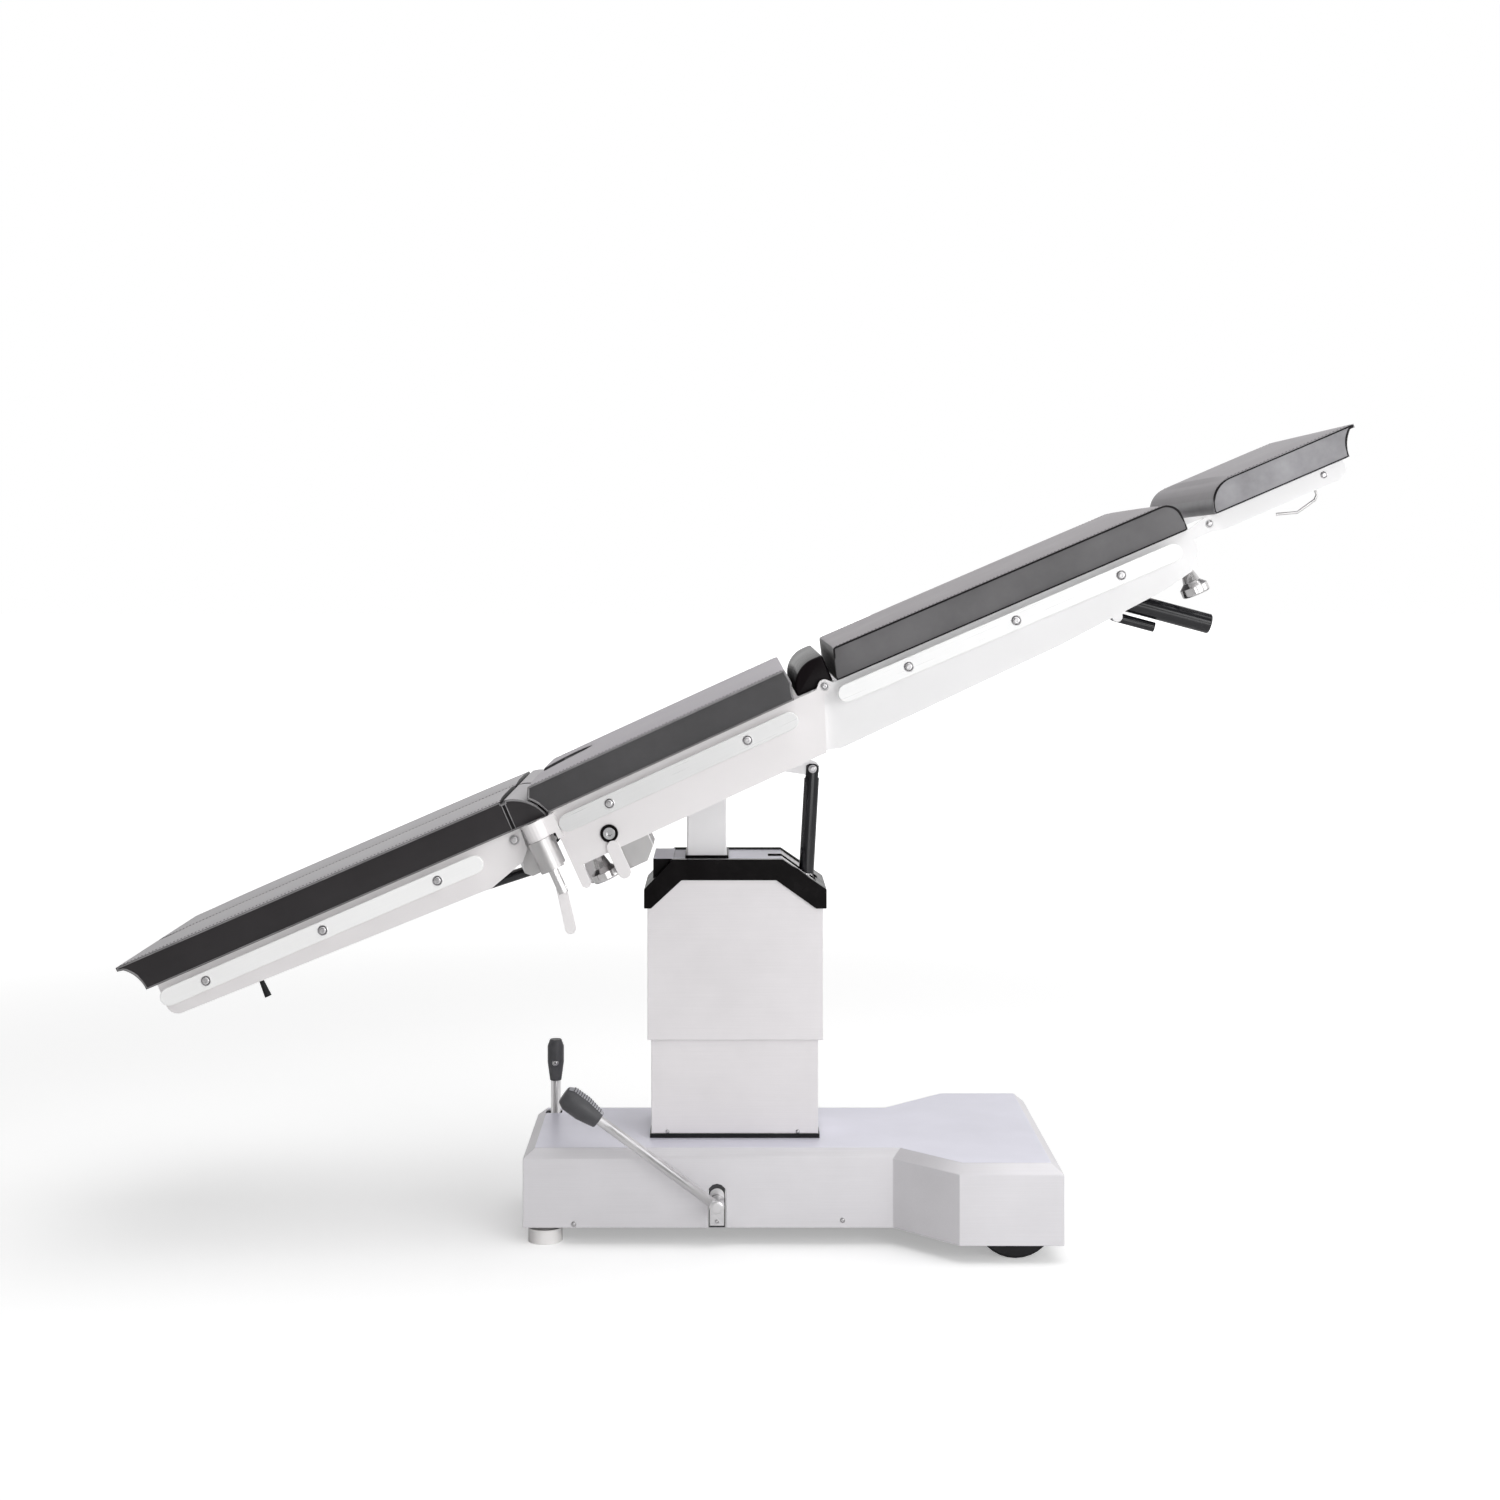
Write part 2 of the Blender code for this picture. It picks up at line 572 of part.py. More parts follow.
class Frame:
    """An empty on a joint's axis; pieces hung on it are drawn in their section's own plane."""

    def __init__(self, name, plane, pivot, parent=None):
        self.matrix = plane @ Matrix.Translation(pivot)
        self.offset = -Vector(pivot)
        self.empty = bpy.data.objects.new(name, None)
        parts.objects.link(self.empty)
        if parent:
            self.empty.parent = parent.empty
            self.empty.matrix_basis = parent.matrix.inverted() @ self.matrix
        else:
            self.empty.matrix_basis = self.matrix

    def hold(self, thing):
        thing.parent = self.empty
        thing.location = self.offset


def look(name, finish):
    colour, roughness, metallic = finish
    material = bpy.data.materials.new(name + "_finish")
    material.use_nodes = True
    shader = material.node_tree.nodes["Principled BSDF"]
    shader.inputs["Base Color"].default_value = (*colour, 1)
    shader.inputs["Roughness"].default_value = roughness
    shader.inputs["Metallic"].default_value = metallic
    return material


def piece(name, mesh, finish, frame):
    """A node of the part."""
    thing = bpy.data.objects.new(name, mesh)
    mesh.name = name
    mesh.materials.clear()
    mesh.materials.append(look(name, finish))
    parts.objects.link(thing)
    frame.hold(thing)
    return thing


def combine(target, mesh, operation):
    tool = bpy.data.objects.new(target.name + "_tool", mesh)
    cutters.objects.link(tool)
    tool.parent = target.parent
    tool.location = target.location
    tool.hide_render = True
    tool.display_type = "WIRE"
    step = target.modifiers.new(operation.lower(), "BOOLEAN")
    step.operation = operation
    step.object = tool
    step.solver = "EXACT"


def add(target, *meshes):
    for mesh in meshes:
        combine(target, mesh, "UNION")


def cut(target, *meshes):
    for mesh in meshes:
        combine(target, mesh, "DIFFERENCE")


def finish_mesh(bm, name):
    bmesh.ops.recalc_face_normals(bm, faces=bm.faces)
    mesh = bpy.data.meshes.new(name)
    bm.to_mesh(mesh)
    bm.free()
    mesh.shade_smooth()
    mesh.set_sharp_from_angle(angle=SHARP_ANGLE)
    return mesh


def block(low, high):
    low, high = Vector(low), Vector(high)
    size = high - low
    bm = bmesh.new()
    bmesh.ops.create_cube(bm, size=1)
    bmesh.ops.scale(bm, vec=size, verts=bm.verts)
    bmesh.ops.translate(bm, vec=(low + high) / 2, verts=bm.verts)
    return finish_mesh(bm, "block")


def rod(start, end, radius, end_radius=None, segments=ROUND_SEGMENTS):
    """A round bar or a cone between two points."""
    start, end = Vector(start), Vector(end)
    run = end - start
    bm = bmesh.new()
    bmesh.ops.create_cone(
        bm,
        cap_ends=True,
        segments=segments,
        radius1=radius,
        radius2=radius if end_radius is None else end_radius,
        depth=run.length,
    )
    turn = Vector((0, 0, 1)).rotation_difference(run).to_matrix().to_4x4()
    bmesh.ops.transform(bm, matrix=Matrix.Translation((start + end) / 2) @ turn, verts=bm.verts)
    return finish_mesh(bm, "rod")


def hole(start, end, pin_radius, segments=ROUND_SEGMENTS):
    """A bore that a many-sided pin of the given radius turns in."""
    return rod(start, end, (pin_radius + RUNNING_GAP) / math.cos(math.pi / segments), segments=segments)


PLANES = {
    "uw": Matrix.Rotation(math.pi / 2, 4, "X"),
    "xy": Matrix.Identity(4),
}


def prism(points, low, high, plane="uw"):
    """A flat outline drawn as a filled curve, thick from low to high across its plane."""
    curve = bpy.data.curves.new("outline", "CURVE")
    curve.dimensions = "2D"
    curve.fill_mode = "BOTH"
    curve.extrude = abs(high - low) / 2
    spline = curve.splines.new("POLY")
    spline.points.add(len(points) - 1)
    for point, (across, up) in zip(spline.points, points):
        point.co = (across, up, 0, 1)
    spline.use_cyclic_u = True
    drawn = bpy.data.objects.new("outline", curve)
    parts.objects.link(drawn)
    flat = bpy.data.meshes.new_from_object(drawn)
    bpy.data.objects.remove(drawn, do_unlink=True)
    bm = bmesh.new()
    bm.from_mesh(flat)
    bmesh.ops.remove_doubles(bm, verts=bm.verts, dist=MERGE)
    middle = (low + high) / 2
    shift = (0, 0, middle) if plane == "xy" else (0, middle, 0)
    bmesh.ops.transform(bm, matrix=Matrix.Translation(shift) @ PLANES[plane], verts=bm.verts)
    return finish_mesh(bm, "outline")


def turned(profile, top, direction, segments=ROUND_SEGMENTS):
    """A profile of radius and drop, turned about an axis that starts at top and runs along direction."""
    bm = bmesh.new()
    corners = [bm.verts.new((radius, 0, -drop)) for radius, drop in profile]
    for first, second in zip(corners, corners[1:]):
        bm.edges.new((first, second))
    line = bpy.data.meshes.new("profile")
    bm.to_mesh(line)
    bm.free()
    drawn = bpy.data.objects.new("profile", line)
    parts.objects.link(drawn)
    screw = drawn.modifiers.new("turn", "SCREW")
    screw.steps = segments
    screw.render_steps = segments
    screw.use_merge_vertices = True
    screw.merge_threshold = MERGE
    whole = bpy.data.meshes.new_from_object(drawn.evaluated_get(bpy.context.evaluated_depsgraph_get()))
    bpy.data.objects.remove(drawn, do_unlink=True)
    bm = bmesh.new()
    bm.from_mesh(whole)
    bmesh.ops.remove_doubles(bm, verts=bm.verts, dist=MERGE)
    turn = Vector((0, 0, -1)).rotation_difference(Vector(direction)).to_matrix().to_4x4()
    bmesh.ops.transform(bm, matrix=Matrix.Translation(top) @ turn, verts=bm.verts)
    return finish_mesh(bm, "turned")


def arc(centre, radius, start_degrees, end_degrees, steps=ARC_STEPS):
    """Points on a round stretch of an outline."""
    across, up = centre
    turns = [start_degrees + (end_degrees - start_degrees) * i / steps for i in range(steps + 1)]
    return [
        (across + radius * math.cos(math.radians(t)), up + radius * math.sin(math.radians(t)))
        for t in turns
    ]


def slot_outline(first, second, radius):
    """A bar with round ends between two points of its plane."""
    run = Vector(second) - Vector(first)
    turn = math.degrees(math.atan2(run.y, run.x))
    return arc(second, radius, turn - 90, turn + 90) + arc(first, radius, turn + 90, turn + 270)


def span(side, inner, outer):
    """The same stretch on the near or the far side, low end first."""
    return sorted((side * inner, side * outer))


def inset(points, distance):
    """The outline moved inwards by a distance; points run counterclockwise."""
    moved = []
    count = len(points)
    for i in range(count):
        before, here, after = Vector(points[i - 1]), Vector(points[i]), Vector(points[(i + 1) % count])
        into, out = (here - before).normalized(), (after - here).normalized()
        normal_in, normal_out = Vector((-into.y, into.x)), Vector((-out.y, out.x))
        miter = (normal_in + normal_out).normalized()
        moved.append(tuple(here + miter * (distance / miter.dot(normal_in))))
    return moved


def bevel(thing, width, segments=1, angle=SHARP_ANGLE):
    step = thing.modifiers.new("rounding", "BEVEL")
    step.width = width
    step.segments = segments
    step.limit_method = "ANGLE"
    step.angle_limit = angle


BASE_OUTLINE = [
    (BASE_FOOT_X, -BASE_HALF_NARROW),
    (BASE_NECK_X, -BASE_HALF_NARROW),
    (BASE_FLARE_X, -BASE_HALF_WIDE),
    (BASE_HEAD_X, -BASE_HALF_WIDE),
    (BASE_HEAD_X, BASE_HALF_WIDE),
    (BASE_FLARE_X, BASE_HALF_WIDE),
    (BASE_NECK_X, BASE_HALF_NARROW),
    (BASE_FOOT_X, BASE_HALF_NARROW),
]
CHASSIS_TOP = BASE_TOP - BASE_WALL - GAP
PUMP_BAR_Y = -BASE_HALF_NARROW - PUMP_GRIP_RADIUS - PUMP_GRIP_CLEAR
PUMP_HUB_IN = -BASE_HALF_NARROW - GAP
PUMP_HUB_OUT = PUMP_BAR_Y - PUMP_BAR_RADIUS - PUMP_HUB_RIM
CHASSIS_LOW = CHASSIS_TOP - CHASSIS_PLATE
BRAKE_Z = CHASSIS_TOP - BRAKE_PIVOT_DROP
CASTOR_AXLE_Z = CASTOR_LIFT + CASTOR_RADIUS
CASTOR_CROWN_LOW = CASTOR_AXLE_Z + CASTOR_RADIUS + OVERRUN
CASTOR_CROWN_TOP = CASTOR_CROWN_LOW + CASTOR_CROWN
GASKET_LOW = BASE_TOP + GAP
GASKET_TOP = GASKET_LOW + GASKET_HEIGHT
ROOF_LOW = UPPER_TOP - COLUMN_WALL
FLANGE_TOP = ROOF_LOW - GAP
FLANGE_LOW = FLANGE_TOP - POST_FLANGE_THICK


def shell(thing, wall, chamfer=0):
    """Opens the bottom of a solid, bevels the rim of its top and gives it an inward wall."""
    bm = bmesh.new()
    bm.from_mesh(thing.data)
    low = min(v.co.z for v in bm.verts)
    high = max(v.co.z for v in bm.verts)
    floor = [f for f in bm.faces if all(v.co.z < low + MERGE for v in f.verts)]
    bmesh.ops.delete(bm, geom=floor, context="FACES")
    if chamfer:
        weight = bm.edges.layers.float.new("bevel_weight_edge")
        for edge in bm.edges:
            if all(v.co.z > high - MERGE for v in edge.verts) and edge.calc_face_angle(0) > 1:
                edge[weight] = 1
    bm.to_mesh(thing.data)
    bm.free()
    if chamfer:
        step = thing.modifiers.new("chamfer", "BEVEL")
        step.limit_method = "WEIGHT"
        step.width = chamfer
        step.segments = 1
    step = thing.modifiers.new("wall", "SOLIDIFY")
    step.thickness = wall
    step.offset = -1
    step.use_even_offset = True


def build_base(frame):
    cover = piece("base_cover", prism(BASE_OUTLINE, BASE_LOW, BASE_TOP, "xy"), STEEL, frame)
    shell(cover, BASE_WALL, BASE_CHAMFER)
    arch_z = PUMP_SLOT_TOP - PUMP_SLOT_HALF
    pump_slot = arc((PUMP_X, arch_z), PUMP_SLOT_HALF, 0, 180) + [
        (PUMP_X - PUMP_SLOT_HALF, 0),
        (PUMP_X + PUMP_SLOT_HALF, 0),
    ]
    cut(
        cover,
        prism(pump_slot, -BASE_HALF_NARROW - OVERRUN, -BASE_HALF_NARROW + BASE_WALL + OVERRUN),
        rod(
            (LIFT_X, 0, CHASSIS_LOW),
            (LIFT_X, 0, BASE_TOP + OVERRUN),
            LIFT_TUBE_RADIUS + BASE_WALL,
        ),
        block(
            (LOCK_FOOT_X - BRAKE_POCKET_X, BRAKE_Y - BRAKE_HUB_HALF - GAP * 2, CHASSIS_LOW),
            (LOCK_FOOT_X + BRAKE_HUB_HALF, BRAKE_Y + BRAKE_HUB_HALF + GAP * 2, BASE_TOP + OVERRUN),
        ),
    )

    chassis = piece(
        "base_chassis",
        prism(inset(BASE_OUTLINE, CHASSIS_INSET), CHASSIS_LOW, CHASSIS_TOP, "xy"),
        DARK_STEEL,
        frame,
    )
    for side in (NEAR, FAR):
        y = side * LOCK_FOOT_Y
        add(
            chassis,
            rod(
                (LOCK_FOOT_X, y, LOCK_GUIDE_LOW),
                (LOCK_FOOT_X, y, CHASSIS_LOW + OVERRUN),
                LOCK_STEM_RADIUS + LOCK_GUIDE_WALL,
            ),
        )
        for ear in (NEAR, FAR):
            inner = side * WHEEL_Y + ear * (WHEEL_WIDTH / 2 + WHEEL_SIDE_GAP)
            low_y, high_y = sorted((inner, inner + ear * WHEEL_EAR))
            add(
                chassis,
                block(
                    (WHEEL_X - WHEEL_EAR_HALF, low_y, WHEEL_RADIUS - WHEEL_EAR_HALF),
                    (WHEEL_X + WHEEL_EAR_HALF, high_y, CHASSIS_LOW + OVERRUN),
                ),
            )
        reach = WHEEL_WIDTH / 2 + WHEEL_SIDE_GAP + WHEEL_EAR / 2
        add(
            chassis,
            rod(
                (WHEEL_X, side * WHEEL_Y - reach, WHEEL_RADIUS),
                (WHEEL_X, side * WHEEL_Y + reach, WHEEL_RADIUS),
                WHEEL_AXLE_RADIUS,
            ),
        )
    tongue_y = -BASE_HALF_NARROW + BASE_WALL + GAP
    add(
        chassis,
        rod(
            (CASTOR_X, 0, CASTOR_CROWN_TOP + GAP),
            (CASTOR_X, 0, CHASSIS_LOW + OVERRUN),
            CASTOR_BOSS_RADIUS,
        ),
        block(
            (PUMP_X - PUMP_TONGUE_HALF, tongue_y, BASE_LOW),
            (PUMP_X + PUMP_TONGUE_HALF, tongue_y + PUMP_TONGUE_DEPTH, CHASSIS_LOW - OVERRUN / 2),
        ),
        block(
            (PUMP_X - PUMP_TONGUE_HALF, tongue_y + PUMP_TONGUE_DEPTH / 2, CHASSIS_LOW - OVERRUN),
            (PUMP_X + PUMP_TONGUE_HALF, -BASE_HALF_NARROW + CHASSIS_INSET + OVERRUN, CHASSIS_LOW + OVERRUN),
        ),
        rod(
            (PUMP_X, tongue_y + PUMP_TONGUE_DEPTH / 2, PUMP_Z),
            (PUMP_X, PUMP_HUB_OUT, PUMP_Z),
            PUMP_PIN_RADIUS,
        ),
    )
    for side in (NEAR, FAR):
        y = side * LOCK_FOOT_Y
        cut(
            chassis,
            hole(
                (LOCK_FOOT_X, y, LOCK_GUIDE_LOW - OVERRUN),
                (LOCK_FOOT_X, y, CHASSIS_LOW),
                LOCK_STEM_RADIUS,
            ),
        )
    cut(
        chassis,
        hole(
            (CASTOR_X, 0, CASTOR_CROWN_LOW),
            (CASTOR_X, 0, CHASSIS_LOW),
            CASTOR_STEM_RADIUS,
        ),
        hole((LIFT_X, 0, 0), (LIFT_X, 0, BASE_TOP), LIFT_TUBE_RADIUS),
        block(
            (LOCK_FOOT_X - BRAKE_POCKET_X, BRAKE_Y - BRAKE_HUB_HALF - GAP, CHASSIS_LOW - OVERRUN),
            (LOCK_FOOT_X + BRAKE_POCKET_X, BRAKE_Y + BRAKE_HUB_HALF + GAP, BASE_TOP),
        ),
    )
    add(
        chassis,
        rod(
            (LOCK_FOOT_X, BRAKE_Y - BRAKE_HUB_HALF - OVERRUN, BRAKE_Z),
            (LOCK_FOOT_X, BRAKE_Y + BRAKE_HUB_HALF + OVERRUN, BRAKE_Z),
            BRAKE_PIN_RADIUS,
            segments=SMALL_SEGMENTS,
        ),
    )


def ring_wall(low, high, wall):
    """The walls of a rectangular tube: a block and the block that opens it."""
    inner_low = (low[0] + wall, low[1] + wall, low[2] - OVERRUN)
    inner_high = (high[0] - wall, high[1] - wall, high[2] + OVERRUN)
    return block(low, high), block(inner_low, inner_high)


def build_lower_column(frame):
    edge = GASKET_EDGE
    outer, inner = ring_wall(
        (LOWER_FOOT_X - edge, -LOWER_HALF_Y - edge, GASKET_LOW),
        (LOWER_HEAD_X + edge, LOWER_HALF_Y + edge, GASKET_TOP),
        GASKET_WALL,
    )
    cut(piece("column_gasket", outer, BLACK_RUBBER, frame), inner)
    outer, inner = ring_wall(
        (LOWER_FOOT_X, -LOWER_HALF_Y, GASKET_TOP + GAP),
        (LOWER_HEAD_X, LOWER_HALF_Y, LOWER_TOP),
        COLUMN_WALL,
    )
    cut(piece("lower_column_cover", outer, STEEL, frame), inner)
    collar_top = LIFT_TUBE_TOP - CHASSIS_LOW + GAP
    collar_radius = LIFT_TUBE_RADIUS + LIFT_TUBE_FLOOR
    height = LIFT_TUBE_TOP - LIFT_TUBE_LOW
    tube = turned(
        [
            (0, 0),
            (LIFT_TUBE_RADIUS, 0),
            (LIFT_TUBE_RADIUS, collar_top),
            (collar_radius, collar_top),
            (collar_radius, collar_top + OVERRUN),
            (LIFT_TUBE_RADIUS, collar_top + OVERRUN),
            (LIFT_TUBE_RADIUS, height),
            (0, height),
        ],
        (LIFT_X, 0, LIFT_TUBE_TOP),
        (0, 0, -1),
    )
    tube = piece("lift_cylinder", tube, DARK_STEEL, frame)
    cut(
        tube,
        hole(
            (LIFT_X, 0, LIFT_TUBE_LOW + LIFT_TUBE_FLOOR),
            (LIFT_X, 0, LIFT_TUBE_TOP + OVERRUN),
            LIFT_RAM_RADIUS,
        ),
    )


def upper_profile(edge=0):
    """The outline of the column head, seen from the near side, grown by an edge."""
    points = [
        (UPPER_FOOT_X, UPPER_LOW),
        (UPPER_HEAD_X, UPPER_LOW),
        (UPPER_HEAD_X, UPPER_SHOULDER),
        (UPPER_TOP_HEAD_X, UPPER_TOP),
        (UPPER_TOP_FOOT_X, UPPER_TOP),
        (UPPER_FOOT_X, UPPER_SHOULDER),
    ]
    return inset(points, -edge) if edge else points


def build_upper_column(frame):
    cover = piece(
        "upper_column_cover", prism(upper_profile(), -UPPER_HALF_Y, UPPER_HALF_Y), STEEL, frame
    )
    shell(cover, COLUMN_WALL)
    slot = block(
        (TILT_SLOT_FOOT_X, -TILT_SLOT_HALF, TRIM_LOW),
        (TILT_SLOT_HEAD_X, TILT_SLOT_HALF, UPPER_TOP + OVERRUN),
    )
    post = block(
        (LIFT_X - POST_HALF_X - POST_HOLE_GAP, -POST_HALF_Y - POST_HOLE_GAP, TRIM_LOW),
        (LIFT_X + POST_HALF_X + POST_HOLE_GAP, POST_HALF_Y + POST_HOLE_GAP, UPPER_TOP + OVERRUN),
    )
    cut(cover, slot.copy(), post)

    outer = upper_profile(TRIM_LIP)
    outer[0] = (outer[0][0] - TRIM_SIDE + TRIM_LIP, TRIM_LOW)
    outer[1] = (outer[1][0] + TRIM_SIDE - TRIM_LIP, TRIM_LOW)
    outer[2] = (outer[1][0], outer[2][1])
    outer[5] = (outer[0][0], outer[5][1])
    trim = piece(
        "column_trim",
        prism(outer, -UPPER_HALF_Y - GAP - TRIM_THICK, UPPER_HALF_Y + GAP + TRIM_THICK),
        BLACK_GLOSS,
        frame,
    )
    window = inset(upper_profile(), TRIM_BAND)
    window[0] = (UPPER_FOOT_X + TRIM_INNER_RUN / 2, TRIM_LOW - OVERRUN)
    window[1] = (UPPER_HEAD_X - TRIM_INNER_RUN, TRIM_LOW - OVERRUN)
    window[2] = (window[1][0], TRIM_LOW)
    window[5] = (window[0][0], TRIM_LOW)
    wide = UPPER_HALF_Y + TRIM_THICK + OVERRUN
    lid = block(
        (UPPER_FOOT_X + TRIM_INNER_RUN, -TRIM_INNER_Y, UPPER_SHOULDER - OVERRUN),
        (UPPER_HEAD_X - TRIM_INNER_RUN, TRIM_INNER_Y, UPPER_TOP + TRIM_SIDE + OVERRUN),
    )
    cut(
        trim,
        prism(upper_profile(GAP), -UPPER_HALF_Y - GAP, UPPER_HALF_Y + GAP),
        prism(window, -wide, wide),
        lid,
        slot,
    )

    ram = rod((LIFT_X, 0, LIFT_RAM_LOW), (LIFT_X, 0, FLANGE_LOW - GAP), LIFT_RAM_RADIUS)
    piece("lift_ram", ram, CHROME, frame)
    build_post(frame)


def build_post(frame):
    top = PIVOT_POINT.z + POST_ABOVE_PIVOT
    post = piece(
        "pivot_post",
        block(
            (LIFT_X - POST_HALF_X, -POST_HALF_Y, FLANGE_LOW),
            (LIFT_X + POST_HALF_X, POST_HALF_Y, top),
        ),
        WHITE_METAL,
        frame,
    )
    bevel(post, FUSE * 4)
    add(
        post,
        block(
            (LIFT_X - POST_FLANGE_FOOT, -POST_FLANGE_HALF_Y, FLANGE_LOW),
            (LIFT_X + POST_FLANGE_HEAD, POST_FLANGE_HALF_Y, FLANGE_TOP),
        ),
    )
    ear_top = TILT_FOOT_Z + TILT_WINDOW_HALF_Z + TILT_WINDOW_RIM
    ear_low = TILT_FOOT_Z - TILT_WINDOW_HALF_Z - TILT_WINDOW_RIM
    ear = [
        (LIFT_X + POST_FLANGE_HEAD - TILT_EAR_OUT, FLANGE_LOW + OVERRUN),
        (TILT_EAR_FOOT_X, ear_low),
        (TILT_EAR_HEAD_X, ear_low),
        (TILT_EAR_HEAD_X, ear_top),
        (LIFT_X + POST_FLANGE_HEAD, FLANGE_LOW + OVERRUN),
    ]
    window_low = (
        TILT_FOOT_X - TILT_WINDOW_FOOT,
        -TILT_EAR_OUT - OVERRUN,
        TILT_FOOT_Z - TILT_WINDOW_HALF_Z,
    )
    window_high = (
        TILT_FOOT_X + TILT_WINDOW_HEAD,
        TILT_EAR_OUT + OVERRUN,
        TILT_FOOT_Z + TILT_WINDOW_HALF_Z,
    )
    for side in (NEAR, FAR):
        add(post, prism(ear, *span(side, TILT_EAR_IN, TILT_EAR_OUT)))
    cut(
        post,
        block(window_low, window_high),
        block(
            (LIFT_X - POST_HALF_X - OVERRUN, -POST_FORK_HALF, PIVOT_POINT.z - POST_FORK_DEPTH),
            (LIFT_X + POST_HALF_X + OVERRUN, POST_FORK_HALF, top + OVERRUN),
        ),
        hole(
            (PIVOT_POINT.x, -POST_HALF_Y - OVERRUN, PIVOT_POINT.z),
            (PIVOT_POINT.x, POST_HALF_Y + OVERRUN, PIVOT_POINT.z),
            TRUNNION_RADIUS,
        ),
    )


def build_wheels():
    for side, name in SIDES:
        y = side * WHEEL_Y
        frame = Frame("head_wheel_axis_" + name, WORLD, (WHEEL_X, y, WHEEL_RADIUS))
        low, high = y - WHEEL_WIDTH / 2, y + WHEEL_WIDTH / 2
        wheel = rod(
            (WHEEL_X, low, WHEEL_RADIUS),
            (WHEEL_X, high, WHEEL_RADIUS),
            WHEEL_RADIUS,
            segments=WHEEL_SEGMENTS,
        )
        wheel = piece("head_wheel_" + name, wheel, BLACK_RUBBER, frame)
        bevel(wheel, WHEEL_WIDTH / 8, 1)
        cut(
            wheel,
            hole(
                (WHEEL_X, low - OVERRUN, WHEEL_RADIUS),
                (WHEEL_X, high + OVERRUN, WHEEL_RADIUS),
                WHEEL_AXLE_RADIUS,
            ),
        )


def build_castor():
    swivel = Frame("castor_swivel_axis", WORLD, (CASTOR_X, 0, CASTOR_CROWN_TOP))
    axle_x = CASTOR_X + CASTOR_TRAIL
    side_in = CASTOR_WIDTH / 2 + WHEEL_SIDE_GAP
    side_out = side_in + WHEEL_EAR
    fork = piece(
        "castor_fork",
        block(
            (CASTOR_X - CASTOR_FORK_HALF, -side_out, CASTOR_CROWN_LOW),
            (axle_x + CASTOR_FORK_HALF, side_out, CASTOR_CROWN_TOP),
        ),
        DARK_STEEL,
        swivel,
    )
    for side in (NEAR, FAR):
        low, high = span(side, side_in, side_out)
        add(
            fork,
            block(
                (axle_x - CASTOR_FORK_HALF, low, CASTOR_AXLE_Z - CASTOR_FORK_HALF / 2),
                (axle_x + CASTOR_FORK_HALF, high, CASTOR_CROWN_LOW + FUSE),
            ),
        )
    add(
        fork,
        rod(
            (CASTOR_X, 0, CASTOR_CROWN_LOW + FUSE),
            (CASTOR_X, 0, CHASSIS_LOW - OVERRUN),
            CASTOR_STEM_RADIUS,
        ),
        rod(
            (axle_x, -side_in - FUSE, CASTOR_AXLE_Z),
            (axle_x, side_in + FUSE, CASTOR_AXLE_Z),
            WHEEL_AXLE_RADIUS,
        ),
    )
    spin = Frame("castor_axle_axis", WORLD, (axle_x, 0, CASTOR_AXLE_Z), swivel)
    low, high = -CASTOR_WIDTH / 2, CASTOR_WIDTH / 2
    wheel = rod(
        (axle_x, low, CASTOR_AXLE_Z),
        (axle_x, high, CASTOR_AXLE_Z),
        CASTOR_RADIUS,
        segments=CASTOR_SEGMENTS,
    )
    wheel = piece("castor_wheel", wheel, BLACK_RUBBER, spin)
    cut(
        wheel,
        hole(
            (axle_x, low - OVERRUN, CASTOR_AXLE_Z),
            (axle_x, high + OVERRUN, CASTOR_AXLE_Z),
            WHEEL_AXLE_RADIUS,
        ),
    )


def build_lock_feet():
    rise = LOCK_STEM_TOP - LOCK_FOOT_HEIGHT
    profile = [
        (0, 0),
        (LOCK_STEM_RADIUS, 0),
        (LOCK_STEM_RADIUS, rise),
        (LOCK_FOOT_RADIUS - FUSE, rise),
        (LOCK_FOOT_RADIUS, LOCK_STEM_TOP),
        (0, LOCK_STEM_TOP),
    ]
    for side, name in SIDES:
        y = side * LOCK_FOOT_Y
        frame = Frame("lock_foot_axis_" + name, WORLD, (LOCK_FOOT_X, y, 0))
        foot = turned(profile, (LOCK_FOOT_X, y, LOCK_STEM_TOP), (0, 0, -1))
        piece("lock_foot_" + name, foot, FOOT_GREY, frame)


def build_brake():
    frame = Frame("brake_axis", WORLD, (LOCK_FOOT_X, BRAKE_Y, BRAKE_Z))
    lever = piece(
        "brake_lever",
        rod(
            (LOCK_FOOT_X, BRAKE_Y - BRAKE_HUB_HALF, BRAKE_Z),
            (LOCK_FOOT_X, BRAKE_Y + BRAKE_HUB_HALF, BRAKE_Z),
            BRAKE_HUB_RADIUS,
        ),
        CHROME,
        frame,
    )
    add(
        lever,
        rod((LOCK_FOOT_X, BRAKE_Y, BRAKE_Z), (LOCK_FOOT_X, BRAKE_Y, BRAKE_BAR_TOP), BRAKE_BAR_RADIUS),
    )
    cut(
        lever,
        hole(
            (LOCK_FOOT_X, BRAKE_Y - BRAKE_HUB_HALF - OVERRUN, BRAKE_Z),
            (LOCK_FOOT_X, BRAKE_Y + BRAKE_HUB_HALF + OVERRUN, BRAKE_Z),
            BRAKE_PIN_RADIUS,
            SMALL_SEGMENTS,
        ),
    )
    build_barrel_grip(
        "brake_grip",
        (LOCK_FOOT_X, BRAKE_Y, BRAKE_GRIP_LOW),
        (LOCK_FOOT_X, BRAKE_Y, BRAKE_GRIP_HIGH),
        BRAKE_GRIP_RADIUS,
        BRAKE_BAR_RADIUS,
        BRAKE_BAR_TOP - BRAKE_GRIP_LOW,
        frame,
    )


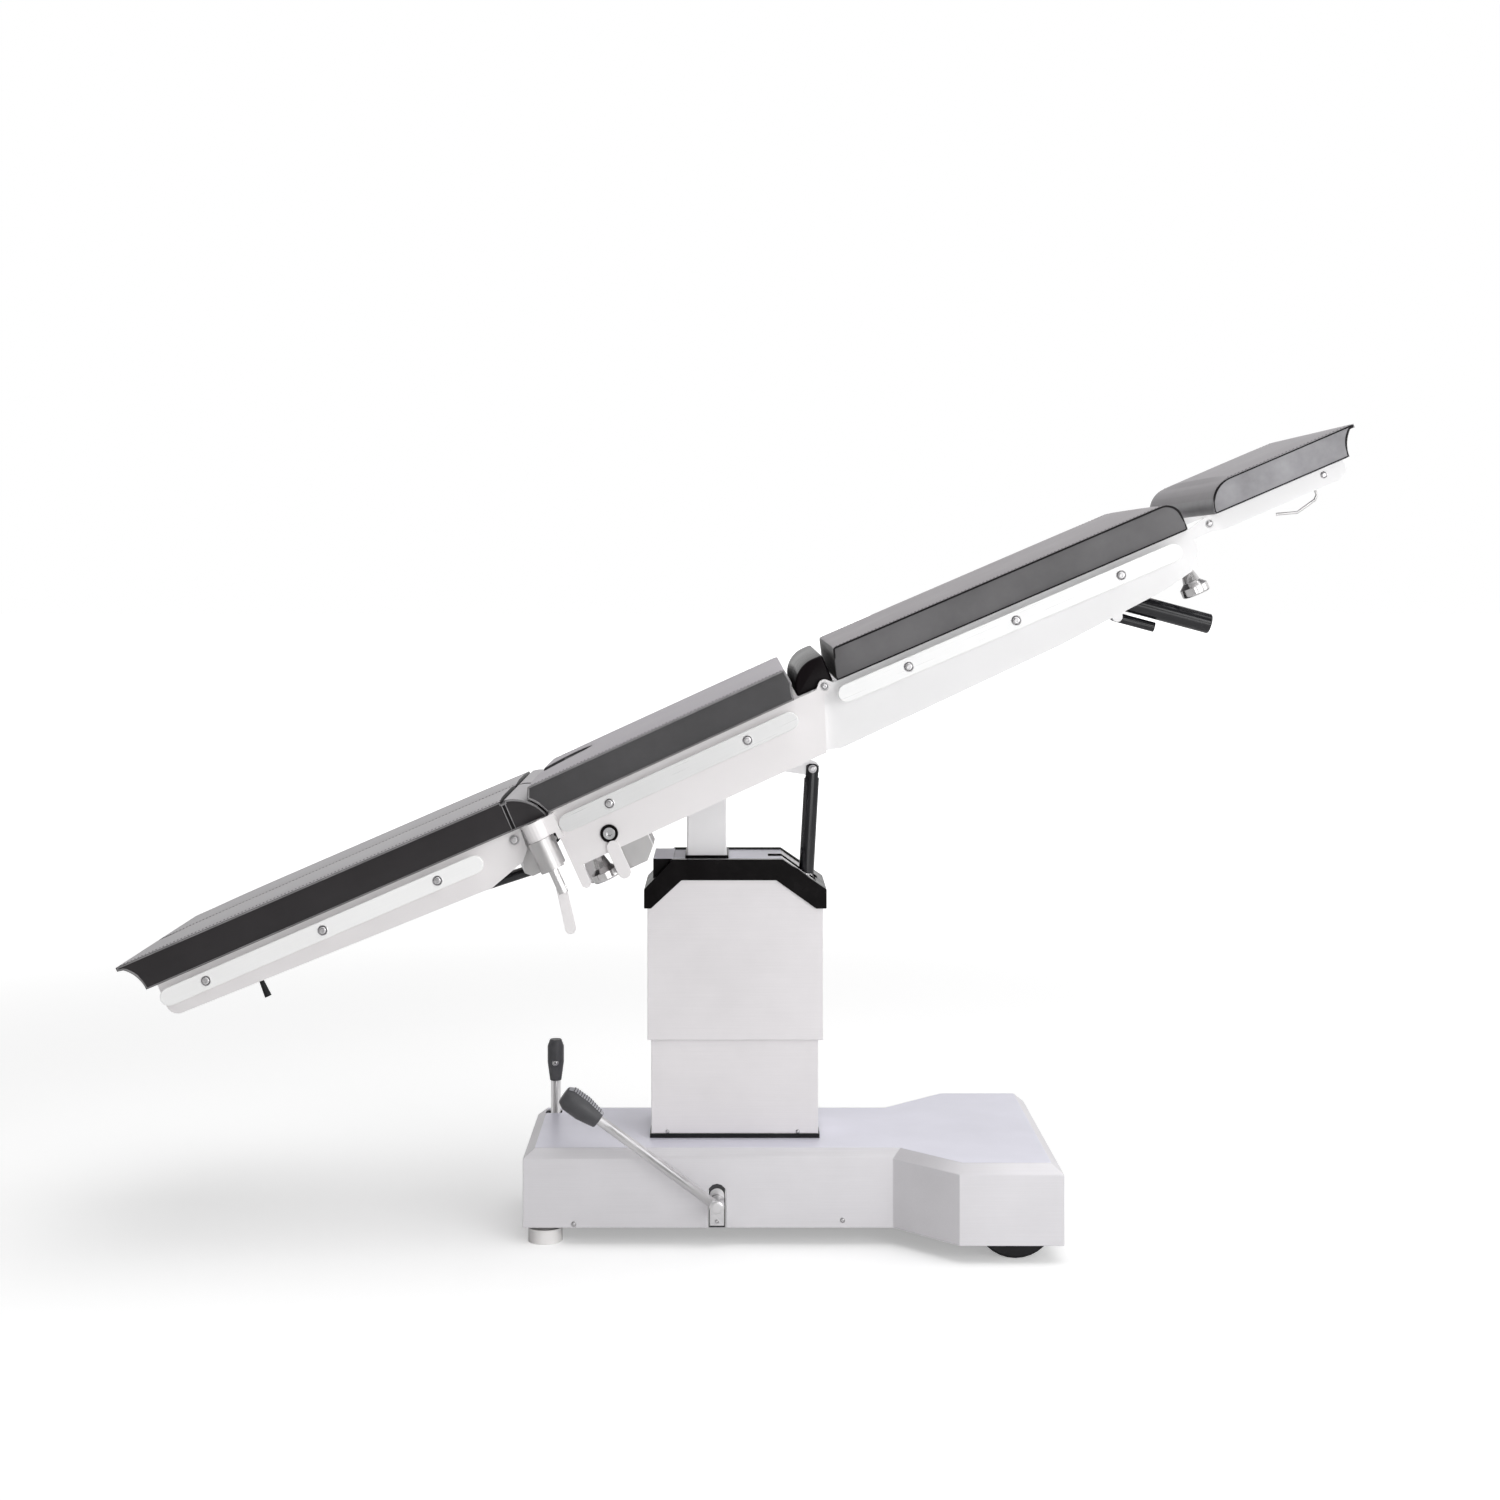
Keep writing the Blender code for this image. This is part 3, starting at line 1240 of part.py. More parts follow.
def build_barrel_grip(name, start, end, radius, bar_radius, depth, frame):
    """A rubber grip with a swollen middle, bored to take its bar."""
    start, end = Vector(start), Vector(end)
    length = (end - start).length
    profile = [
        (0, 0),
        (radius * GRIP_NECK_SHARE, 0),
        (radius, length * GRIP_SWELL_SHARE),
        (radius, length * GRIP_MIDDLE_SHARE),
        (radius * GRIP_NECK_SHARE, length),
        (0, length),
    ]
    direction = (start - end).normalized()
    grip = piece(name, turned(profile, end, direction), BLACK_RUBBER, frame)
    bore = (bar_radius + GAP) / math.cos(math.pi / ROUND_SEGMENTS)
    cut(grip, rod(start + direction * OVERRUN, start - direction * (depth + GAP), bore))


def build_pump():
    y = PUMP_BAR_Y
    frame = Frame("pump_axis", WORLD, (PUMP_X, y, PUMP_Z))
    lever = piece(
        "pump_lever",
        rod((PUMP_X, PUMP_HUB_OUT, PUMP_Z), (PUMP_X, PUMP_HUB_IN, PUMP_Z), PUMP_HUB_RADIUS),
        CHROME,
        frame,
    )
    add(lever, rod((PUMP_X, y, PUMP_Z), (PUMP_BAR_END_X, y, PUMP_BAR_END_Z), PUMP_BAR_RADIUS))
    cut(
        lever,
        hole(
            (PUMP_X, PUMP_HUB_OUT - OVERRUN, PUMP_Z),
            (PUMP_X, PUMP_HUB_IN + OVERRUN, PUMP_Z),
            PUMP_PIN_RADIUS,
        ),
    )
    foot = Vector((PUMP_X, y, PUMP_Z))
    bar = Vector((PUMP_BAR_END_X, y, PUMP_BAR_END_Z)) - foot
    along = bar.normalized()
    build_barrel_grip(
        "pump_grip",
        foot + along * PUMP_GRIP_START,
        foot + along * (PUMP_GRIP_START + PUMP_GRIP_LENGTH),
        PUMP_GRIP_RADIUS,
        PUMP_BAR_RADIUS,
        bar.length - PUMP_GRIP_START,
        frame,
    )


def build_saddle(frame):
    """The cross hub on the post, with the shaft that the seat rolls on and the arm of the cylinder."""
    saddle = piece(
        "saddle",
        rod(
            (PIVOT_U - SHAFT_REACH, 0, PIVOT_W),
            (PIVOT_U + SHAFT_REACH, 0, PIVOT_W),
            SHAFT_RADIUS,
        ),
        DARK_STEEL,
        frame,
    )
    hub_half = POST_FORK_HALF - FUSE
    start = PIVOT_U + ARM_START
    arm = [
        (start, PIVOT_W),
        (start, ARM_CLEAR_W),
        (TILT_TOP_U - ARM_LUG_RADIUS, TILT_TOP_W - ARM_LUG_RADIUS / 2),
    ]
    arm += arc((TILT_TOP_U, TILT_TOP_W), ARM_LUG_RADIUS, 250, 420)
    arm += [(start + ARM_LOW_WIDTH, ARM_CLEAR_W), (start + ARM_WIDTH, PIVOT_W)]
    add(
        saddle,
        rod((PIVOT_U, -hub_half, PIVOT_W), (PIVOT_U, hub_half, PIVOT_W), HUB_RADIUS),
        rod(
            (PIVOT_U, -TRUNNION_REACH, PIVOT_W),
            (PIVOT_U, TRUNNION_REACH, PIVOT_W),
            TRUNNION_RADIUS,
        ),
        prism(arm, -ARM_HALF, ARM_HALF),
    )
    ear_out = TILT_TUBE_RADIUS
    add(
        saddle,
        rod(
            (TILT_TOP_U, -ear_out, TILT_TOP_W),
            (TILT_TOP_U, ear_out, TILT_TOP_W),
            TILT_PIN_RADIUS,
            segments=SMALL_SEGMENTS,
        ),
    )


def build_tilt_cylinder(parent):
    top = Vector(TILT_TOP_POINT)
    foot = Vector((TILT_FOOT_X, 0, TILT_FOOT_Z))
    down = (foot - top).normalized()
    length = (foot - top).length
    frame = Frame("tilt_cylinder_axis", WORLD, top, parent)
    tube = turned(
        [
            (0, 0),
            (TILT_TUBE_NECK, 0),
            (TILT_TUBE_RADIUS, TILT_PIN_RADIUS),
            (TILT_TUBE_RADIUS, TILT_TUBE_END + TILT_PIN_RADIUS),
            (0, TILT_TUBE_END + TILT_PIN_RADIUS),
        ],
        top - down * TILT_TUBE_ABOVE,
        down,
    )
    tube = piece("tilt_cylinder", tube, BLACK_GLOSS, frame)
    slot_half = ARM_HALF + GAP
    box_low = top - Vector((TILT_TUBE_START, slot_half, TILT_TUBE_START))
    box_high = top + Vector((TILT_TUBE_START, slot_half, TILT_TUBE_START))
    end = top + down * (TILT_TUBE_END + TILT_TUBE_START)
    bore = (TILT_ROD_RADIUS + RUNNING_GAP) / math.cos(math.pi / ROUND_SEGMENTS)
    cut(
        tube,
        block(box_low, box_high),
        hole(
            top - Vector((0, TILT_TUBE_START, 0)),
            top + Vector((0, TILT_TUBE_START, 0)),
            TILT_PIN_RADIUS,
            SMALL_SEGMENTS,
        ),
        rod(end, top + down * (TILT_TUBE_END - TILT_BORE_DEPTH), bore),
    )
    slide = Frame("tilt_rod_axis", WORLD, foot, frame)
    bar = rod(top + down * TILT_ROD_START, foot, TILT_ROD_RADIUS, segments=ROUND_SEGMENTS)
    bar = piece("tilt_rod", bar, CHROME, slide)
    add(
        bar,
        rod(
            foot - Vector((0, TILT_EAR_OUT - FUSE, 0)),
            foot + Vector((0, TILT_EAR_OUT - FUSE, 0)),
            TILT_PIN_RADIUS,
            segments=SMALL_SEGMENTS,
        ),
    )


def rail(name, leg_end, hip_end, w, bosses, plate_out, side, frame):
    """A side rail with round ends on spacers that stand on the side plate."""
    low, high = span(side, RAIL_IN, RAIL_IN + RAIL_THICK)
    ends = ((leg_end + RAIL_HALF, w), (hip_end - RAIL_HALF, w))
    bar = piece(name, prism(slot_outline(*ends, RAIL_HALF), low, high), RAIL_STEEL, frame)
    for u in bosses:
        add(
            bar,
            rod(
                (u, side * (plate_out + GAP), w),
                (u, side * (RAIL_IN + FUSE), w),
                RAIL_BOSS_RADIUS,
                segments=SMALL_SEGMENTS,
            ),
        )


def build_seat(frame):
    plate = [
        (SEAM_LOW_U, -SEAT_DEPTH),
        (SEAM_TOP_U, SEAM_TOP_W),
        *arc((0, 0), HIP_LUG_RADIUS, -60, 150),
        (-HIP_LUG_SHOULDER, 0),
        (SEAT_LEG_END, 0),
        (SEAT_LEG_END, TAB_LOW + TAB_CHAMFER),
        (SEAT_LEG_END + TAB_CHAMFER, TAB_LOW),
        (SEAT_LEG_END + TAB_WIDTH - TAB_CHAMFER, TAB_LOW),
        (SEAT_LEG_END + TAB_WIDTH, TAB_LOW + TAB_CHAMFER),
        (SEAT_LEG_END + TAB_WIDTH, -SEAT_DEPTH),
    ]
    plate_in = PLATE_OUT - PLATE_WALL
    seat = piece("seat_frame", prism(plate, *span(NEAR, plate_in, PLATE_OUT)), WHITE_METAL, frame)
    add(seat, prism(plate, *span(FAR, plate_in, PLATE_OUT)))
    beams = (
        PIVOT_U - BEARING_NEAR_U - BEARING_LENGTH,
        PIVOT_U + BEARING_NEAR_U,
    )
    for u in beams:
        add(
            seat,
            block(
                (u, -plate_in - FUSE, -BEARING_DEPTH),
                (u + BEARING_LENGTH, plate_in + FUSE, 0),
            ),
        )
    for side in (NEAR, FAR):
        low, high = span(side, PLATE_OUT - FUSE, SOCKET_LINK_Y + SOCKET_LINK_THICK)
        link_low, link_high = span(side, SOCKET_LINK_Y, SOCKET_LINK_Y + SOCKET_LINK_THICK)
        y = side * SOCKET_Y
        add(
            seat,
            block(
                (SOCKET_BLOCK_U, low, -SOCKET_BLOCK_DEPTH),
                (SOCKET_BLOCK_U + SOCKET_BLOCK_WIDTH, high, -SOCKET_TOP),
            ),
            block(
                (SOCKET_U, link_low, SOCKET_LOW + FUSE),
                (SOCKET_BLOCK_U + FUSE, link_high, -SOCKET_TOP - FUSE),
            ),
            rod((SOCKET_U, y, SOCKET_LOW), (SOCKET_U, y, -SOCKET_TOP), SOCKET_RADIUS),
        )
    boss_low, boss_high = span(NEAR, KNOB_Y - KNOB_BOSS_HALF, plate_in + FUSE)
    add(
        seat,
        block(
            (KNOB_U - KNOB_BOSS_HALF, boss_low, -SEAT_DEPTH),
            (KNOB_U + KNOB_BOSS_HALF, boss_high, -SEAT_DEPTH + KNOB_BOSS_HEIGHT),
        ),
    )
    outside, inside = -PLATE_OUT - OVERRUN, -plate_in + OVERRUN
    cut(
        seat,
        hole(
            (PIVOT_U - SHAFT_REACH, 0, PIVOT_W),
            (PIVOT_U + SHAFT_REACH, 0, PIVOT_W),
            SHAFT_RADIUS,
        ),
        hole(
            (KNOB_U, -KNOB_Y, -SEAT_DEPTH - OVERRUN),
            (KNOB_U, -KNOB_Y, -SEAT_DEPTH + KNOB_BOSS_HEIGHT - OVERRUN),
            KNOB_STEM_RADIUS,
        ),
        rod((CRANK_U, outside, CRANK_W), (CRANK_U, inside, CRANK_W), CRANK_RADIUS + GAP * 2),
        hole(
            (PADDLE_U, outside, PADDLE_TOP_W),
            (PADDLE_U, inside, PADDLE_TOP_W),
            PADDLE_PIN_RADIUS,
            SMALL_SEGMENTS,
        ),
    )
    for side in (NEAR, FAR):
        y = side * SOCKET_Y
        cut(
            seat,
            hole(
                (0, side * (plate_in - OVERRUN), 0),
                (0, side * (PLATE_OUT + OVERRUN), 0),
                HIP_PIN_RADIUS,
            ),
            hole((SOCKET_U, y, SOCKET_LOW - OVERRUN), (SOCKET_U, y, OVERRUN), BARREL_STUD_RADIUS),
        )
    for side, name in SIDES:
        rail(
            "seat_rail_" + name,
            SEAT_RAIL_LEG,
            SEAT_RAIL_HIP,
            SEAT_RAIL_W,
            (SEAT_RAIL_BOSS_LEG, SEAT_RAIL_BOSS_HIP),
            PLATE_OUT,
            side,
            frame,
        )


def build_seat_controls(frame):
    plate_in = PLATE_OUT - PLATE_WALL
    hip_u = PIVOT_U - BEARING_NEAR_U - BEARING_LENGTH - GAP
    chamfer = min(GEARBOX_CHAMFER, (hip_u - GEARBOX_LEG_U) / 3)
    box = [
        (GEARBOX_LEG_U, GEARBOX_TOP),
        (GEARBOX_LEG_U, GEARBOX_LOW + chamfer),
        (GEARBOX_LEG_U + chamfer, GEARBOX_LOW),
        (hip_u - chamfer, GEARBOX_LOW),
        (hip_u, GEARBOX_LOW + chamfer),
        (hip_u, GEARBOX_TOP),
    ]
    low, high = span(NEAR, GEARBOX_IN_Y, plate_in - GAP)
    box = prism(box, low, high)
    gearbox = piece("tilt_gearbox", box, CASTING, frame)
    relief = rod(
        (KNOB_U, -KNOB_Y, -SEAT_DEPTH - KNOB_HEIGHT - OVERRUN),
        (KNOB_U, -KNOB_Y, -SEAT_DEPTH + OVERRUN / 2),
        KNOB_FLANGE_RADIUS + OVERRUN / 2,
    )
    shaft = hole(
        (CRANK_U, low - OVERRUN, CRANK_W),
        (CRANK_U, low + OVERRUN * 3, CRANK_W),
        CRANK_RADIUS,
    )
    cut(gearbox, relief, shaft)

    crank_frame = Frame("crank_axis", SEAT, (CRANK_U, -PLATE_OUT, CRANK_W), frame)
    outer = -PLATE_OUT - CRANK_REACH
    crank = piece(
        "crank_socket",
        rod((CRANK_U, outer, CRANK_W), (CRANK_U, low + OVERRUN * 2, CRANK_W), CRANK_RADIUS),
        CHROME,
        crank_frame,
    )
    cut(
        crank,
        rod(
            (CRANK_U, outer - OVERRUN, CRANK_W),
            (CRANK_U, outer + CRANK_REACH * 2, CRANK_W),
            CRANK_RADIUS / 2,
            segments=HEXAGON_SEGMENTS,
        ),
    )

    paddle_frame = Frame("paddle_axis", SEAT, (PADDLE_U, -PLATE_OUT, PADDLE_TOP_W), frame)
    outline = slot_outline((PADDLE_U, PADDLE_TOP_W), (PADDLE_U, PADDLE_LOW_W), PADDLE_HALF)
    face = PLATE_OUT + GAP
    paddle = piece(
        "lock_paddle",
        prism(outline, *span(NEAR, face, face + PADDLE_THICK)),
        WHITE_METAL,
        paddle_frame,
    )
    add(
        paddle,
        rod(
            (PADDLE_U, -face - FUSE, PADDLE_TOP_W),
            (PADDLE_U, -plate_in, PADDLE_TOP_W),
            PADDLE_PIN_RADIUS,
            segments=SMALL_SEGMENTS,
        ),
    )
    build_knob("seat_knob", SEAT, KNOB_U, -KNOB_Y, -SEAT_DEPTH, frame)


def build_knob(name, plane, u, y, w, parent):
    """A bell-shaped knob on a stem that goes up into a boss of the frame."""
    frame = Frame(name + "_axis", plane, (u, y, w), parent)
    stem = KNOB_BOSS_HEIGHT / 2
    drop = stem + GAP * 2
    profile = [
        (0, 0),
        (KNOB_STEM_RADIUS, 0),
        (KNOB_STEM_RADIUS, drop),
        (KNOB_NECK_RADIUS, drop),
        (KNOB_BELL_RADIUS, drop + KNOB_BELL_DROP),
        (KNOB_FLANGE_RADIUS, drop + KNOB_FLANGE_DROP),
        (KNOB_FLANGE_RADIUS, drop + KNOB_HEIGHT - FUSE * 4),
        (KNOB_FLANGE_RADIUS - FUSE * 4, drop + KNOB_HEIGHT),
        (0, drop + KNOB_HEIGHT),
    ]
    knob = turned(profile, (u, y, w + stem), (0, 0, -1))
    piece(name, knob, CHROME, frame)


def build_leg(side, name, seat_frame):
    swing = Frame("swing_axis_" + name, SEAT, (SOCKET_U, side * SOCKET_Y, 0), seat_frame)
    build_hub(side, name, swing)
    build_clamp(side, name, swing)
    pitch = Frame("pitch_axis_" + name, LEG, (0, 0, 0), swing)
    build_leg_frame(side, name, pitch)
    rail_length = LEG_RAIL_KNEE - LEG_RAIL_FOOT
    rail(
        "leg_rail_" + name,
        LEG_RAIL_FOOT,
        LEG_RAIL_KNEE,
        LEG_RAIL_W,
        [LEG_RAIL_FOOT + rail_length * share for share in LEG_RAIL_BOSS_SHARES],
        PLATE_OUT,
        side,
        pitch,
    )
    build_gas_spring(side, name, swing, pitch)
    build_release(side, name, pitch)
    return pitch


def build_hub(side, name, frame):
    y = side * SOCKET_Y
    barrel_top = SOCKET_LOW - GAP
    hub = piece(
        "leg_hub_" + name,
        rod((SOCKET_U, y, BARREL_LOW), (SOCKET_U, y, barrel_top), BARREL_RADIUS),
        CASTING,
        frame,
    )
    wing_low, wing_high = span(side, WING_IN, WING_IN + WING_THICK)
    bridge_low, bridge_high = span(side, WING_IN, SOCKET_Y)
    boss = arc((KNEE_U, KNEE_W), KNEE_BOSS_RADIUS, -10, 190)
    wing = [
        (BRIDGE_HIP_U, BRIDGE_TOP),
        (BRIDGE_LEG_U - BARREL_RADIUS, BRIDGE_TOP),
        *boss,
        (WING_FOOT_U, WING_FOOT_W),
        (WING_LOW_U, WING_LOW_W),
        (BRIDGE_HIP_U, WING_LOW_W),
    ]
    pin_in, pin_out = WING_IN + WING_THICK - FUSE, PLATE_OUT + FUSE * 4
    spring_point = LEG @ Vector((SPRING_HUB_U, 0, SPRING_HUB_W))
    bolt = SEAT.inverted() @ spring_point
    add(
        hub,
        rod(
            (SOCKET_U, y, barrel_top - FUSE),
            (SOCKET_U, y, -SOCKET_TOP),
            BARREL_STUD_RADIUS,
        ),
        block(
            (BRIDGE_LEG_U, bridge_low, BARREL_LOW + FUSE * 2),
            (BRIDGE_HIP_U, bridge_high, BRIDGE_TOP),
        ),
        prism(wing, wing_low, wing_high),
        rod((KNEE_U, side * pin_in, KNEE_W), (KNEE_U, side * pin_out, KNEE_W), KNEE_PIN_RADIUS),
        rod(
            (bolt.x, side * (WING_IN + FUSE), bolt.z),
            (bolt.x, side * (SPRING_Y - SPRING_TUBE_RADIUS), bolt.z),
            SPRING_PIN_RADIUS,
            segments=SMALL_SEGMENTS,
        ),
    )
    cut(
        hub,
        hole(
            (SOCKET_U, y, BARREL_LOW - OVERRUN),
            (SOCKET_U, y, BARREL_LOW + CLAMP_PIN_HEIGHT + OVERRUN),
            CLAMP_PIN_RADIUS,
            SMALL_SEGMENTS,
        ),
    )


def build_clamp(side, name, parent):
    y = side * SOCKET_Y
    top = BARREL_LOW - GAP
    frame = Frame("clamp_axis_" + name, SEAT, (SOCKET_U, y, BARREL_LOW), parent)
    clamp = piece(
        "clamp_handle_" + name,
        rod((SOCKET_U, y, CLAMP_STUD_LOW), (SOCKET_U, y, top), CLAMP_STUD_RADIUS),
        CHROME,
        frame,
    )
    start = (SOCKET_U, CLAMP_STUD_LOW + CLAMP_STUD_RADIUS)
    end = (
        SOCKET_U - CLAMP_PADDLE_LENGTH * math.sin(CLAMP_PADDLE_LEAN),
        start[1] - CLAMP_PADDLE_LENGTH * math.cos(CLAMP_PADDLE_LEAN),
    )
    half = CLAMP_PADDLE_THICK / 2
    add(
        clamp,
        rod(
            (SOCKET_U, y, top - FUSE),
            (SOCKET_U, y, BARREL_LOW + CLAMP_PIN_HEIGHT),
            CLAMP_PIN_RADIUS,
            segments=SMALL_SEGMENTS,
        ),
        prism(slot_outline(start, end, CLAMP_PADDLE_HALF), y - half, y + half),
    )


def build_leg_frame(side, name, frame):
    plate = [
        (LEG_PLATE_NOSE_LOW_U, LEG_PLATE_NOSE_LOW_W),
        (LEG_PLATE_NOSE_U, LEG_PLATE_TOP),
        (LEG_FOOT_U, LEG_PLATE_TOP),
        *arc(
            (LEG_FOOT_U + LEG_PLATE_TIP_ROUND, LEG_PLATE_TIP_W),
            LEG_PLATE_TIP_ROUND,
            180,
            265,
        ),
        (LEG_PLATE_DEEP_U, LEG_PLATE_DEEP_W),
        (LEG_PLATE_HEEL_U, LEG_PLATE_HEEL_W),
    ]
    plate_in = PLATE_OUT - PLATE_WALL
    leg = piece("leg_frame_" + name, prism(plate, *span(side, plate_in, PLATE_OUT)), WHITE_METAL, frame)
    tray_low, tray_high = span(side, LEG_TRAY_IN, plate_in + FUSE)
    tray_under = LEG_PLATE_TOP - LEG_TRAY_THICK
    lug_half_u = SPRING_WINDOW_U + SPRING_LUG_RIM
    lug_low = SPRING_LEG_W - SPRING_WINDOW_W - SPRING_LUG_RIM
    lug_in, lug_out = span(side, SPRING_LUG_IN, SPRING_LUG_IN + SPRING_LUG_THICK)
    window_in, window_out = span(side, SPRING_LUG_IN - OVERRUN, SPRING_LUG_IN + SPRING_LUG_THICK + OVERRUN)
    add(
        leg,
        block((LEG_FOOT_U + FUSE, tray_low, tray_under), (LEG_TRAY_KNEE_U, tray_high, LEG_PLATE_TOP)),
        block(
            (SPRING_LEG_U - lug_half_u, lug_in, lug_low),
            (SPRING_LEG_U + lug_half_u, lug_out, tray_under + FUSE),
        ),
        rod(
            (RELEASE_U, side * RELEASE_Y, RELEASE_W),
            (RELEASE_U, side * (plate_in + FUSE), RELEASE_W),
            RELEASE_PIN_RADIUS,
            segments=SMALL_SEGMENTS,
        ),
    )
    cut(
        leg,
        block(
            (SPRING_LEG_U - SPRING_WINDOW_U, window_in, SPRING_LEG_W - SPRING_WINDOW_W),
            (SPRING_LEG_U + SPRING_WINDOW_U, window_out, SPRING_LEG_W + SPRING_WINDOW_W),
        ),
        hole(
            (0, side * (plate_in - OVERRUN), 0),
            (0, side * (PLATE_OUT + OVERRUN), 0),
            KNEE_PIN_RADIUS,
        ),
    )


def build_gas_spring(side, name, swing, pitch):
    y = side * SPRING_Y
    start = Vector((SPRING_HUB_U, y, SPRING_HUB_W))
    end = Vector((SPRING_LEG_U, y, SPRING_LEG_W))
    run = end - start
    along = run.normalized()
    tube_end = start + run * SPRING_TUBE_SHARE
    frame = Frame("spring_axis_" + name, LEG, start, swing)
    eye_half = SPRING_EYE_HALF
    tube = piece("spring_tube_" + name, rod(start, tube_end, SPRING_TUBE_RADIUS), BLACK_GLOSS, frame)
    add(
        tube,
        rod(
            start - Vector((0, eye_half, 0)),
            start + Vector((0, eye_half, 0)),
            SPRING_TUBE_RADIUS,
        ),
    )
    bore_start = start + along * (SPRING_TUBE_RADIUS * 2)
    bore = (SPRING_ROD_RADIUS + RUNNING_GAP) / math.cos(math.pi / SMALL_SEGMENTS)
    cut(
        tube,
        rod(bore_start, tube_end + along * OVERRUN, bore, segments=SMALL_SEGMENTS),
        hole(
            start - Vector((0, SPRING_TUBE_RADIUS + OVERRUN, 0)),
            start + Vector((0, SPRING_TUBE_RADIUS + OVERRUN, 0)),
            SPRING_PIN_RADIUS,
            SMALL_SEGMENTS,
        ),
    )
    slide = Frame("spring_rod_axis_" + name, LEG, end, frame)
    bar = rod(tube_end - along * SPRING_ROD_INSIDE, end, SPRING_ROD_RADIUS, segments=SMALL_SEGMENTS)
    bar = piece("spring_rod_" + name, bar, CHROME, slide)
    add(
        bar,
        rod(
            end - Vector((0, SPRING_ROD_RADIUS, 0)),
            end + Vector((0, SPRING_ROD_RADIUS, 0)),
            SPRING_EYE_RADIUS,
        ),
        rod(
            end,
            end + Vector((0, side * (SPRING_LUG_IN + SPRING_LUG_THICK - SPRING_Y), 0)),
            SPRING_PIN_RADIUS,
            segments=SMALL_SEGMENTS,
        ),
    )


def build_release(side, name, parent):
    y = side * RELEASE_Y
    frame = Frame("release_axis_" + name, LEG, (RELEASE_U, y, RELEASE_W), parent)
    half = RELEASE_EYE_RADIUS / 2
    lever = piece(
        "release_lever_" + name,
        rod((RELEASE_U, y - half, RELEASE_W), (RELEASE_U, y + half, RELEASE_W), RELEASE_EYE_RADIUS),
        BLACK_RUBBER,
        frame,
    )
    grip_top = RELEASE_W - RELEASE_GRIP_TOP
    grip_low = RELEASE_W - RELEASE_GRIP_LOW
    add(
        lever,
        rod(
            (RELEASE_U, y, RELEASE_W - half),
            (RELEASE_U, y, grip_top - FUSE),
            RELEASE_ROD_RADIUS,
            segments=SMALL_SEGMENTS,
        ),
        rod(
            (RELEASE_U, y, grip_low),
            (RELEASE_U, y, grip_top),
            RELEASE_GRIP_RADIUS,
            RELEASE_ROD_RADIUS + FUSE,
            segments=SMALL_SEGMENTS,
        ),
    )
    cut(
        lever,
        hole(
            (RELEASE_U, y - half - OVERRUN, RELEASE_W),
            (RELEASE_U, y + half + OVERRUN, RELEASE_W),
            RELEASE_PIN_RADIUS,
            SMALL_SEGMENTS,
        ),
    )


